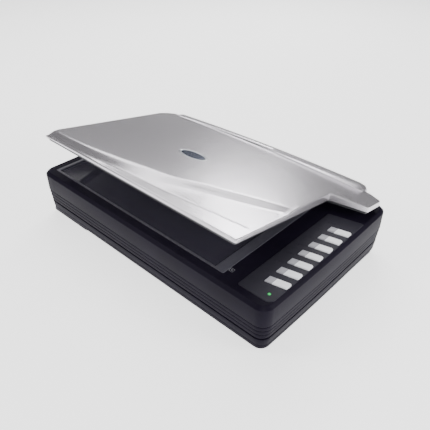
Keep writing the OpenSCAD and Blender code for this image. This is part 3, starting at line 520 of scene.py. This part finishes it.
# ---------------------------------------------------------------- lid
LID_X0, NOTCH_X, LID_X1 = -306.0, 227.0, 300.0
LID_DEPTH = 358.0  # from the hinge axis to the front edge
LID_FRONT, NOTCH_Y, ARM_Y, ARM_BACK = HINGE[1] - LID_DEPTH, 97.5, 115.5, 177.0
LID_BACK = HALF_D - 0.25
SPINE_X0, SPINE_X1, SPINE_Y0 = -262.0, 262.0, 167.0
SPINE_TOP, SPINE_PEAK_X, SPINE_R, SPINE_END_H = 24.4, 80.0, 6600.0, 12.6
LEAN_Y, LEAN = 178.0, 4.2  # behind LEAN_Y the back leans forwards, by LEAN at the spine's top
CROWN, CROWN_X, CROWN_R = 19.0, -20.0, (320.0 ** 2 + 8.5 ** 2) / 17.0
LID_T = 2.5
LEG_X = (-205.0, 205.0)
BRACKET_HALF_W, BRACKET_Y0, BRACKET_Y1, BRACKET_TOP = 18.5, 169.0, 200.0, 8.0
LID_POINTS = [
    (LID_X0, LID_FRONT), (NOTCH_X, LID_FRONT), (NOTCH_X, NOTCH_Y), (LID_X1, ARM_Y),
    (LID_X1, ARM_BACK - 12), (SPINE_X1 + 10, ARM_BACK), (SPINE_X1, ARM_BACK), (SPINE_X1, LID_BACK),
    (SPINE_X0, LID_BACK), (SPINE_X0, ARM_BACK), (SPINE_X0 - 14, ARM_BACK), (LID_X0, ARM_BACK - 30)]
LID_RADII = [6, 4, 1.5, 3, 8, 5, 1.2, 8, 8, 1.2, 5, 14]

# The step across the lid: at each x, where its top edge and its foot lie
RIDGE_X = [-310, -245, -196, -145, -101, -59, -20, 16, 40, 60, 80, 100, 125, 150, 175, 200, 227, 300]
RIDGE_Y = [-153, -159, -158.5, -152, -144, -135, -124.5, -117, -109, -98.5, -88, -79, -68, -55, -43, -31, -16, 20]
FOOT_Y = [-170, -169, -168, -166, -162, -157, -148, -138, -123, -111.5, -101.5, -92.5, -82.5, -70.5, -59, -47.5,
          -33.5, 0]


def crown(x):
    """Height of the lid's plateau above the shell's lower edge."""
    return CROWN - (x - CROWN_X) ** 2 / (2 * CROWN_R)


def spine_top(x):
    return SPINE_TOP - (x - SPINE_PEAK_X) ** 2 / (2 * SPINE_R)


def mixed(a, b, t):
    return a + (b - a) * t


def step01(t):
    """Smooth step from 0 to 1."""
    t = min(1.0, max(0.0, t))
    return t * t * (3 - 2 * t)


def crease_y(x):
    """The thin engraved line along the front slope."""
    return -154.66 + 0.1095 * x


def lid_section(x, y):
    """Height of the lid's top at (x, y) before its soft bends: plateau, ridge, foot of the ridge, crease, rim."""
    c = crown(x)
    yt = float(np.interp(x, RIDGE_X, RIDGE_Y))
    yb = float(np.interp(x, RIDGE_X, FOOT_Y))
    yf = LID_FRONT + 3.0
    yc = max(crease_y(x), yf + 1.0)
    zf = float(np.interp(x, [-306, -290, -200, -60], [1.6, 3.0, 4.8, 6.8]))
    zc = zf + min(1.4, (yc - yf) * 0.06)
    s = step01((x + 20) / 110.0)
    zline = mixed(zc, c, max(0.0, min(1.0, (yb - yc) / max(1.0, yt - yc))))
    zstep = mixed(zc + 1.6, zc + 0.5, step01((x - 90) / 130.0))
    zb = mixed(zline, zstep, s)
    if yc < yb:
        return float(np.interp(y, [yf - 1, yf, yc, yb, yt, yt + 400], [zf, zf, zc, zb, c, c]))
    return float(np.interp(y, [yf - 1, yf, yt, yt + 400], [zf, zf, c, c]))


def lid_height(x, y):
    """Smoothed section plus the raised spine."""
    r = mixed(5.2, 3.8, step01((x + 120) / 200.0))
    if y < float(np.interp(x, RIDGE_X, RIDGE_Y)) + 12:
        ks = np.linspace(-1, 1, 9)
        w = 1 - np.abs(ks) * 0.8
        h = float(sum(lid_section(x, y + k * r * 1.6) * q for k, q in zip(ks, w)) / w.sum())
        yc = crease_y(x)
        if yc > LID_FRONT + 6:
            h -= 0.55 * math.exp(-((y - yc) / 1.3) ** 2)
    else:
        h = crown(x)
    up = step01((y - (SPINE_Y0 - 2.0)) / 5.0)
    side = step01((x - SPINE_X0 + 1.0) / 4.0) * step01((SPINE_X1 - x) / 1.5)
    end = SPINE_END_H + 1.1 * max(0.0, SPINE_X1 - x) ** 0.92
    rise = max(0.4, min(end, spine_top(x)) - 0.03 * max(0.0, y - SPINE_Y0 - 2) - crown(x))
    return h + rise * up * side


def edge_radius(x, y):
    """How far the top edge is rounded: softly at the left, a little at the front, crisp at the right."""
    left = step01((-290 - x) / 14.0)
    front = step01((LID_FRONT + 8 - y) / 6.0)
    back = step01((y - 160) / 14.0)
    return 1.3 + 8.0 * left + 1.6 * front * (1 - left) + 1.7 * back * (1 - left)


def back_lean(y, h):
    """The back of the spine leans forwards with height."""
    return y - max(0.0, (y - LEAN_Y) / (LID_BACK - LEAN_Y)) * LEAN * h / SPINE_TOP


def on_lid(x, y, w):
    """A point of the closed lid, w above the shell's lower edge, turned to where the lid stands."""
    yy, zz = y - HINGE[1], w
    c, s = math.cos(OPEN), math.sin(OPEN)
    return (x, HINGE[1] + yy * c + zz * s, HINGE[2] - yy * s + zz * c)


def turn_lid(bm, lean=True):
    for v in bm.verts:
        x, y, w = v.co
        v.co = on_lid(x, back_lean(y, w) if lean else y, w)


def skin_points():
    """Points that let the lid's cap follow its step, its crease and its spine."""
    extra = []
    for x in np.arange(LID_X0 + 4, LID_X1, 7.0):
        yt = float(np.interp(x, RIDGE_X, RIDGE_Y))
        yb = float(np.interp(x, RIDGE_X, FOOT_Y))
        yc = crease_y(x)
        ys = [yc + k for k in (-2.6, -1.3, -0.6, 0, 0.6, 1.3, 2.6)]
        ys += [164, 165.4, 166.2, 167, 167.8, 168.6, 170, 176, 182]
        for y0, y1, gap in ((LID_FRONT + 5.5, LID_FRONT + 12, 2.2), (LID_FRONT + 12, yc - 3, 5.0),
                            (yc + 4, yb - 8, 6.0), (yb - 8, yt + 10, 1.5), (yt + 12, 162, 11.0)):
            ys += list(np.arange(y0, y1, gap))
        last = -1e9
        for y in sorted(ys):
            if y - last > 0.55:
                extra.append((x, y))
                last = y
    xs = [SPINE_X0 + k for k in (-1.2, 0.4, 2, 3.4)] + [SPINE_X1 + k for k in (-9, -6, -3.4, -1.6, -0.6, 0.6)]
    return extra + [(x, y) for x in xs for y in (164.6, 165.8, 167, 168.2, 169.4, 171, 174, 177)]


def build_lid():
    """Lid shell: rounded top edge, thin inner side and two recesses for the hinge brackets."""
    bm = bmesh.new()
    insets = [0.0, 0.12, 0.45, 0.95, 1.6, 2.5, 3.6, 5.0, 6.6, 8.4]

    def top(d):
        def z(x, y):
            r = edge_radius(x, y)
            drop = r - math.sqrt(max(0.0, r * r - (r - d) ** 2)) if d < r else 0.0
            h = lid_height(x, y)
            return max(min(1.5, h), h - drop * min(1.0, h / 9.0))
        return z
    loops = [offset_path(LID_POINTS, LID_RADII, d) for d in insets]
    z0 = top(0.0)
    low = ring_verts(bm, offset_path(LID_POINTS, LID_RADII, 0.3), 0.0)
    rings = [low, ring_verts(bm, loops[0], 0.35)]
    for share in (0.25, 0.55, 0.8):
        rings.append([bm.verts.new((x, y, z0(x, y) * share)) for x, y in loops[0]])
    rings += [ring_verts(bm, lp, top(d)) for d, lp in zip(insets, loops)]
    stack(bm, rings)
    extra = skin_points()
    fill(bm, loops[-1], [], lid_height, extra)
    inner = offset_path(LID_POINTS, LID_RADII, LID_T)
    deep = offset_path(LID_POINTS, LID_RADII, 5.0)
    a = ring_verts(bm, inner, 0.0)
    b = ring_verts(bm, inner, lambda x, y: max(1.5, lid_height(x, y) - 3.6))
    c = ring_verts(bm, deep, lambda x, y: lid_height(x, y) - LID_T)
    stack(bm, [low, a, b, c])
    fill(bm, deep, [], lambda x, y: lid_height(x, y) - LID_T, extra, flip=True)
    turn_lid(bm)
    o = new_object("lid_skin", bm, ["lid"], "lid", ("lid_shell",), angle=38)
    recesses = [box_bm(x - BRACKET_HALF_W, BRACKET_Y0, -20, x + BRACKET_HALF_W, BRACKET_Y1, BRACKET_TOP)
                for x in LEG_X]
    for k in recesses:
        turn_lid(k, lean=False)
    cut_away(o, recesses)
    smooth_shade(o, 38)
    return o


def build_badge():
    """Blank oval badge: bright rounded rim round a slightly domed, darker face."""
    cx, cy, rx, ry = -36.0, -4.0, 36.0, 20.0
    z0 = crown(cx)
    bm = bmesh.new()
    n = 96
    rim = 6  # profile steps that belong to the bright rim

    def loop(k, z):
        ring = [(cx + (rx - k) * math.cos(2 * math.pi * i / n), cy + (ry - k) * math.sin(2 * math.pi * i / n))
                for i in range(n)]
        return ring_verts(bm, ring, lambda x, y: z + crown(x) - z0)
    prof = [(0, -0.4), (0, 0.25), (0.3, 0.55), (1.0, 0.76), (2.8, 0.8), (4.6, 0.66), (5.2, 0.35), (5.4, 0.3),
            (7, 0.36), (10, 0.45), (14, 0.5), (17, 0.52)]
    rings = [loop(k, z0 + z) for k, z in prof]
    for i, (a, b) in enumerate(zip(rings, rings[1:])):
        bridge(bm, a, b, 1 if i >= rim else 0)
    bm.faces.new(rings[0][::-1])
    f = bm.faces.new(rings[-1])
    f.material_index = 1
    turn_lid(bm, lean=False)
    return new_object("oval_badge", bm, ["badge", "badge_face"], "lid", ("lid_badge",), angle=50)


def build_pad():
    """Foam document pad: soft rounded edges, a slightly domed face and a shallow welded border."""
    x0, y0, x1, y1 = -276.5, -162.5, 180.5, 148.5
    z_low, z_high = -8.9, -3.6
    bm = bmesh.new()

    def path(d):
        return offset_path(corners(x0, y0, x1, y1), [6] * 4, d, 6, 14.0)
    prof = [(0.0, z_high), (0.0, z_low + 2.6), (0.3, z_low + 1.4), (1.0, z_low + 0.6), (2.2, z_low + 0.15),
            (4.0, z_low + 0.05), (5.4, z_low + 0.5), (6.2, z_low + 0.62), (7.0, z_low + 0.5), (9.0, z_low + 0.1)]
    stack(bm, [ring_verts(bm, path(d), z) for d, z in prof])
    grid = [(x, y) for x in np.arange(x0 + 14, x1 - 12, 12.0) for y in np.arange(y0 + 14, y1 - 12, 12.0)]

    def belly(x, y):
        u = (x - x0) / (x1 - x0)
        v = (y - y0) / (y1 - y0)
        wave = 0.05 * math.sin(x * 0.045 + 1.3) * math.sin(y * 0.06)
        return z_low + 0.1 - 0.1 * (16 * u * (1 - u) * v * (1 - v)) ** 0.25 + wave
    fill(bm, path(prof[-1][0]), [], belly, grid, flip=True)
    fill(bm, path(0.0), [], z_high)
    turn_lid(bm, lean=False)
    o = new_object("pad_foam", bm, ["pad"], "lid", ("document_pad",), angle=60)
    return o


# ---------------------------------------------------------------- body
KEY_BOX = [mm_box(f"key_{i}") for i in range(1, 8)]
KEYS = [((lo[0] + hi[0]) / 2, (lo[1] + hi[1]) / 2) for lo, hi in KEY_BOX]
KEY_L, KEY_W, KEY_SLANT = 38.0, 15.2, math.tan(math.radians(12.2))
KEY_TOP = KEY_BOX[0][1][2]
LAMP = [(a + b) / 2 for a, b in zip(*mm_box("status_lamp"))][:2]
FRAME_LO, FRAME_HI = mm_box("platen_frame")
WELL_HALF_W, WELL_Y0, WELL_Y1 = 13.9, 170.6, 181.4  # openings the hinge legs rise out of
KEY_SKIRT = 4.8  # how deep a cap reaches below the top of the cover
KEY_GAP = 0.6
LAMP_R = 2.75
FEET = [(-302, -183.5, -179, -163.5), (282, 48, 302, 171), (240, -145.5, 285, -125.5), (-270, 128.5, -225, 148.5)]


def key_points(c, grow=0.0):
    """Corners of a key's slanted outline, drawn out by grow."""
    hl, hw = KEY_L / 2 + grow, KEY_W / 2 + grow
    rise = hl * KEY_SLANT
    return [(c[0] - hl, c[1] - hw - rise), (c[0] + hl, c[1] - hw + rise),
            (c[0] + hl, c[1] + hw + rise), (c[0] - hl, c[1] + hw - rise)]


def key_path(c, grow):
    return offset_path(key_points(c, grow), [1, 2.5, 4, 1], 0.0, 5, 8.0)


def circle_path(c, r, n=40):
    return [(c[0] + r * math.cos(2 * math.pi * i / n), c[1] + r * math.sin(2 * math.pi * i / n)) for i in range(n)]


def rect(x0, y0, x1, y1, r, seg=14.0):
    return offset_path(corners(x0, y0, x1, y1), [r] * 4, 0.0, 4, seg)


def build_upper():
    """Upper cover: three moulded lips, bevelled top edge, openings for the glass, the keys and the hinge legs."""
    bm = bmesh.new()
    prof = fillet_profile([
        (5.4, TOP - COVER_T), (5.4, PART), (2.4, PART), (2.4, PART + 7.0), (3.4, PART + 7.6), (3.4, PART + 8.7),
        (1.6, PART + 9.2), (1.6, PART + 16.0), (2.6, PART + 16.6), (2.6, PART + 17.7), (0.8, PART + 18.2),
        (0.8, PART + 25.0), (1.8, PART + 25.6), (1.8, PART + 26.7), (0.0, PART + 27.2), (0.0, TOP - BEVEL),
        (BEVEL, TOP), (BEVEL + 2.4, TOP)], 0.6, 3)
    stack(bm, [ring_verts(bm, body_path(d), z) for d, z in prof])
    opening = rect(FRAME_LO[0], FRAME_LO[1], FRAME_HI[0], FRAME_HI[1], 2)
    holes = [opening] + [key_path(c, KEY_GAP) for c in KEYS] + [circle_path(LAMP, LAMP_R)]
    for x in LEG_X:
        holes.append(rect(x - WELL_HALF_W, WELL_Y0, x + WELL_HALF_W, WELL_Y1, 0.8, 8.0))
    fill(bm, body_path(prof[-1][0]), holes, TOP)
    for h in holes:
        bridge(bm, ring_verts(bm, h, TOP), ring_verts(bm, h, TOP - COVER_T))
    fill(bm, body_path(5.4), holes, TOP - COVER_T, flip=True)
    return new_object("case_upper", bm, ["case"], "base", ("upper_cover",), angle=34)


def build_tray():
    """Lower tray: tapering wall with a rounded foot edge, a fine groove line and a flat field for the sockets."""
    floor = TRAY_Z
    bm = bmesh.new()

    def taper(z):
        return 5.0 + (2.3 - 5.0) * (z - floor) / (PART - 1 - floor)
    prof = fillet_profile([
        (8.0, PART - 1), (8.2, floor + 3), (60.0, floor + 3)], 1.0, 3)
    out = fillet_profile([
        (60.0, floor), (taper(floor) + 1.5, floor), (taper(floor + 1.5), floor + 1.5),
        (taper(floor + 9), floor + 9), (taper(floor + 9) + 0.5, floor + 9.6),
        (taper(floor + 10.2) + 0.5, floor + 10.2), (taper(floor + 10.8), floor + 10.8),
        (taper(PART - 4), PART - 4), (taper(PART - 4) + 2.4, PART - 3.4),
        (taper(PART - 1) + 2.4, PART - 1), (taper(PART - 1) + 3.0, PART - 1)], 0.5, 3)

    def path(d):
        if d > 20:
            return [(x * (HALF_W - d) / HALF_W, y * (HALF_D - d) / HALF_D) for x, y in body_path(20)]
        return body_path(d)
    rings = [ring_verts(bm, path(d), z) for d, z in out]
    stack(bm, rings)
    bm.faces.new(rings[0])
    inner = [ring_verts(bm, path(d), z) for d, z in prof]
    stack(bm, inner)
    bm.faces.new(inner[-1])
    bridge(bm, rings[-1], inner[0])
    o = new_object("case_tray", bm, ["case"], "base", ("bottom_cover",), angle=34)
    usb, inlet, sw = mm_box("usb_socket"), mm_box("power_inlet"), mm_box("switch_housing")
    rear = HALF_D - 4.4
    cut = [box_bm(usb[0][0] - 8, rear, floor + 6, sw[1][0] + 3, HALF_D + 5, floor + 24.5)]
    cut.append(box_bm(usb[0][0] - 0.2, rear - 12, usb[0][2] - 0.2, usb[1][0] + 0.2, HALF_D, usb[1][2] + 0.2))
    ic = (inlet[0][0] + inlet[1][0]) / 2
    pz = (usb[0][2] + usb[1][2]) / 2
    cut.append(rod_bm(ic, rear - 12, HALF_D, pz, 5.2))
    cut.append(box_bm(sw[0][0] + 1, rear - 12, sw[0][2] + 1, sw[1][0] - 1, HALF_D, sw[1][2] - 1))
    cut_away(o, cut)
    smooth_shade(o, 34)
    return o


def build_foot_blocks():
    """Moulded blocks under the tray that the rubber pads sit in."""
    bm = bmesh.new()
    prof = [(3.0, 4.0), (1.0, 4.0), (0.3, 4.3), (0.0, 5.0), (0.0, TRAY_Z + 0.5)]
    for foot in FEET:
        block(bm, corners(*foot), [6] * 4, prof, 6, 20.0)
    return new_object("foot_blocks", bm, ["case"], "base", (), angle=40)


def build_feet():
    """Rubber pads, each let into its block with a border of the block showing round it."""
    bm = bmesh.new()
    border = 2.5
    prof = [(1.6, 0.0), (0.6, 0.25), (0.1, 0.9), (0.0, 1.6), (0.0, 4.0)]
    for x0, y0, x1, y1 in FEET:
        block(bm, corners(x0 + border, y0 + border, x1 - border, y1 - border), [4] * 4, prof, 6, 20.0)
    return new_object("foot_pads", bm, ["rubber"], "base", ("feet",), angle=40)


def slot_line(x0, y0, x1, y1, w):
    """Outline of a straight engraved line."""
    d = Vector((x1 - x0, y1 - y0)).normalized()
    n = Vector((-d.y, d.x)) * (w / 2)
    return [(x0 - n.x, y0 - n.y), (x1 - n.x, y1 - n.y), (x1 + n.x, y1 + n.y), (x0 + n.x, y0 + n.y)]


def build_panel():
    """Raised key field with a soft edge and fine engraved lines that lead to the keys."""
    x0, x1, y0, y1 = 236.0, HALF_W - BEVEL, -172.0, 106.0
    pts = [(x0, y0), (x1 - 1.8, y0), (x1 - 0.3, 0), (x1 - 0.9, y1), (x0, y1 - 15)]
    rad = [4, 12, 60, 3, 3]
    bm = bmesh.new()
    t = TOP + 1.2
    prof = [(0.0, TOP), (0.0, TOP + 0.45), (0.25, TOP + 0.9), (0.7, TOP + 1.15), (1.3, t)]
    paths = [offset_path(pts, rad, d, 6, 12.0) for d, _ in prof]
    stack(bm, [ring_verts(bm, p, z) for p, (_, z) in zip(paths, prof)])
    holes = [key_path(c, KEY_GAP) for c in KEYS] + [circle_path(LAMP, LAMP_R)]
    lines = []
    for c in KEYS[1:]:
        lines.append(slot_line(c[0] - 35.5, c[1] - KEY_W / 2 - 11.4, c[0] - 22.5, c[1] - KEY_W / 2 - 8.6, 0.8))
    c = KEYS[-1]
    lines.append(slot_line(c[0] - 35.5, c[1] + 18.6 - KEY_W / 2, c[0] - 14.5, c[1] + 23.2 - KEY_W / 2, 0.8))
    fill(bm, paths[-1], holes + lines, t)
    for h in holes:
        bridge(bm, ring_verts(bm, h, t), ring_verts(bm, h, TOP))
    for h in lines:
        bridge(bm, ring_verts(bm, h, t), ring_verts(bm, h, t - 0.5))
        fill(bm, h, [], t - 0.5)
    fill(bm, paths[0], holes, TOP, flip=True)
    return new_object("key_field", bm, ["panel"], "base", ("control_panel",), angle=40)


def build_key(i):
    """Slanted key cap: the left third is a separate grey inlay, the right end is rounded and the top is eased."""
    c = KEYS[i]
    bm = bmesh.new()
    z_low = KEY_BOX[i][0][2]
    base = TOP - KEY_SKIRT

    def path(d):
        return offset_path(key_points(c), [0.9, 1.6, 3.6, 0.9], d, 6, 6.0)
    prof = [(0.0, base), (0.0, KEY_TOP - 1.1), (0.12, KEY_TOP - 0.6), (0.4, KEY_TOP - 0.25), (0.9, KEY_TOP)]
    rings = [ring_verts(bm, path(d), z) for d, z in prof]
    stack(bm, rings)
    bm.faces.new(rings[0][::-1])
    fill(bm, path(0.9), [], KEY_TOP, [(x, y) for x in np.arange(c[0] - 18, c[0] + 18, 3)
                                      for y in np.arange(c[1] - 12, c[1] + 12, 3)])
    cut = c[0] - KEY_L / 2 + KEY_L * 0.33
    groove_w, groove_h = 0.5, 0.18
    for x in (cut, cut + groove_w):
        geom = bm.verts[:] + bm.edges[:] + bm.faces[:]
        bmesh.ops.bisect_plane(bm, geom=geom, plane_co=(x, 0, 0), plane_no=(1, 0, 0))
    for v in bm.verts:
        if cut - 0.01 < v.co.x < cut + groove_w + 0.01 and v.co.z > base + 1:
            v.co.z -= groove_h
    for f in bm.faces:
        f.material_index = 1 if f.calc_center_median().x < cut + 0.3 else 0
    flange = offset_path(key_points(c, 1.4), [1, 2.5, 4, 1], 0.0, 6, 6.0)
    stem = circle_path(c, 1.8, 20)
    for outline, z0, z1 in ((flange, base - 1.2, base - 0.01), (stem, z_low, base - 1.25)):
        a, b = ring_verts(bm, outline, z0), ring_verts(bm, outline, z1)
        bridge(bm, a, b)
        bm.faces.new(a[::-1])
        bm.faces.new(b)
    return new_object(f"cap_{i + 1}", bm, ["key", "key_grey"], f"button_{i + 1}", (f"key_{i + 1}",),
                      angle=40, weld=0.0005)


def build_frame():
    """Platen frame: rounded bars, two register nubs at the front, a wide bar with a raised lip at the right."""
    x0, y0, _ = FRAME_LO
    x1, y1, top = FRAME_HI
    wx0, wx1, wy0, wy1 = -278.0, 182.0, -164.0, 150.0
    low = FRAME_LO[2]
    bm = bmesh.new()
    outer = corners(x0, y0, x1, y1)
    hole = corners(wx0, wy0, wx1, wy1)
    po = [(0.0, low), (0.0, top - 0.7), (0.15, top - 0.3), (0.5, top - 0.05), (0.9, top)]

    def outer_path(d):
        return offset_path(outer, [2] * 4, d, 4, 16.0)

    def hole_path(d):
        return offset_path(hole, [1] * 4, -d, 4, 16.0)
    stack(bm, [ring_verts(bm, outer_path(d), z) for d, z in po])
    stack(bm, [ring_verts(bm, hole_path(d), z) for d, z in reversed(po)])
    fill(bm, outer_path(0.9), [hole_path(0.9)], top)
    fill(bm, outer_path(0.0), [hole_path(0.0)], low, flip=True)
    nubs = [(-39, y0 + 0.5, -31, y0 + 3.5), (27, y0 + 0.5, 35, y0 + 3.5),
            (wx1 + 1.5, y0 + 0.6, x1 - 1.0, wy0 - 0.8), (wx1 + 4, wy0 + 2, x1 - 2.2, wy1 - 2)]
    prof = ((0.0, top - 0.05), (0.03, top + 0.08), (0.15, top + 0.14), (0.45, top + 0.16))
    for nub in nubs:
        block(bm, corners(*nub), [0.8] * 4, prof, 3, 20.0)
    return new_object("platen_bezel", bm, ["bezel"], "base", ("platen_frame",), angle=40)


# ---------------------------------------------------------------- build everything, finish the carried-over nodes
build_upper()
build_tray()
build_foot_blocks()
build_feet()
build_panel()
build_frame()
for i in range(7):
    build_key(i)
build_lid()
build_badge()
build_pad()

FINISH = {
    "platen_glass": "glass", "alignment_mark": "mark", "calibration_strip": "white_strip", "status_lamp": "status",
    "key_board": "board", "key_switches": "chip", "main_board": "board", "board_parts": "chip",
    "usb_socket": "socket_metal", "power_inlet": "socket", "switch_housing": "socket", "power_rocker": "socket",
    "guide_rod": "steel", "rod_clips": "carriage", "support_rail": "sheet", "motor_bracket": "sheet",
    "stepper_motor": "motor", "motor_pinion": "brass", "drive_gear": "nylon", "gear_post": "steel",
    "drive_belt": "belt", "idler_pulley": "nylon", "idler_plate": "sheet", "tension_spring": "steel",
    "ribbon_cable": "ribbon", "carriage_housing": "carriage", "carriage_top": "cover", "rod_bushes": "brass",
    "slider_foot": "slider", "belt_clamp": "carriage", "scan_lamp": "tube", "lamp_reflector": "foil",
    "mirrors": "mirror", "lens": "lens", "sensor_board": "board", "hinge_legs": "case", "hinge_pins": "steel",
    "hinge_brackets": "sheet", "lid_liner": "liner", "lid_screws": "screw", "case_screws": "screw",
    "motor_screws": "screw", "board_screws": "screw",
}
BEVELLED = {"lid_liner": 0.5, "hinge_legs": 0.8, "switch_housing": 0.35, "power_rocker": 0.35, "usb_socket": 0.2,
            "carriage_housing": 0.5, "carriage_top": 0.3, "stepper_motor": 0.5, "motor_bracket": 0.3}
for name, finish in FINISH.items():
    o = NODE[name]
    o.data.materials.clear()
    o.data.materials.append(M[finish])
    for p in o.data.polygons:
        p.use_smooth = True
        p.material_index = 0
    if name in BEVELLED:
        bv = o.modifiers.new("edge", "BEVEL")
        bv.width = BEVELLED[name] * MM
        bv.segments = 2
        bv.limit_method = "ANGLE"
        bv.angle_limit = math.radians(35)
        bv.harden_normals = False
    es = o.modifiers.new("split", "EDGE_SPLIT")
    es.split_angle = math.radians(32)

# ---------------------------------------------------------------- floor, light, camera
bpy.ops.mesh.primitive_plane_add(size=14, location=(0, 0, -0.0002))
floor = bpy.context.active_object
floor.name = "studio_floor"
fm, _, fb = nodes_of("m_floor")
fb.inputs["Base Color"].default_value = (0.93, 0.93, 0.93, 1)
fb.inputs["Roughness"].default_value = 0.9
fb.inputs["Emission Color"].default_value = (1, 1, 1, 1)
fb.inputs["Emission Strength"].default_value = 1.5
fb.inputs["Specular IOR Level"].default_value = 0.1
floor.data.materials.append(fm)

world = bpy.data.worlds.new("studio")
bpy.context.scene.world = world
world.use_nodes = True
bg = world.node_tree.nodes["Background"]
bg.inputs["Color"].default_value = (1.0, 1.0, 1.0, 1)
bg.inputs["Strength"].default_value = 0.06


def softbox(name, toward, distance, size, power, aim=(0, 0, 0.08), size_y=None):
    """Area light standing off from the object in a direction (azimuth from +X, elevation, in degrees)."""
    az, el = (math.radians(v) for v in toward)
    d = Vector((math.cos(az) * math.cos(el), math.sin(az) * math.cos(el), math.sin(el)))
    light = bpy.data.lights.new(name, "AREA")
    light.shape = "RECTANGLE"
    light.size = size
    light.size_y = size_y or size
    light.energy = power
    ob = bpy.data.objects.new(name, light)
    bpy.context.scene.collection.objects.link(ob)
    ob.location = Vector(aim) + d * distance
    ob.rotation_mode = "QUATERNION"
    ob.rotation_quaternion = (-d).to_track_quat("-Z", "Y")
    ob.visible_camera = False


softbox("overhead", (270, 84), 3.2, 2.6, 24)
softbox("back_wide", (136, 38), 2.6, 2.2, 29, aim=(0.05, 0, 0.12), size_y=0.85)
softbox("back_peak", (121, 25), 2.6, 0.6, 13, aim=(0.1, -0.05, 0.14), size_y=0.35)
softbox("step_light", (140, 63), 2.8, 1.5, 22)
softbox("right_side", (20, 22), 2.4, 1.1, 34)
softbox("front_left", (232, 36), 2.8, 0.9, 26)
softbox("near_corner", (-43, 30), 3.0, 0.35, 45)

cam_data = bpy.data.cameras.new("camera")
cam = bpy.data.objects.new("camera", cam_data)
bpy.context.scene.collection.objects.link(cam)
cam_data.lens = 41.6
cam_data.sensor_width = 36.0
AZ, EL = math.radians(43.04), math.radians(35.22)
view_dir = Vector((-math.sin(AZ) * math.cos(EL), math.cos(AZ) * math.cos(EL), -math.sin(EL)))
cam.location = Vector((0.6044, -0.6178, 0.6467))
cam.rotation_mode = "QUATERNION"
cam.rotation_quaternion = view_dir.to_track_quat("-Z", "Y")
cam_data.clip_start, cam_data.clip_end = 0.02, 40
bpy.context.scene.camera = cam
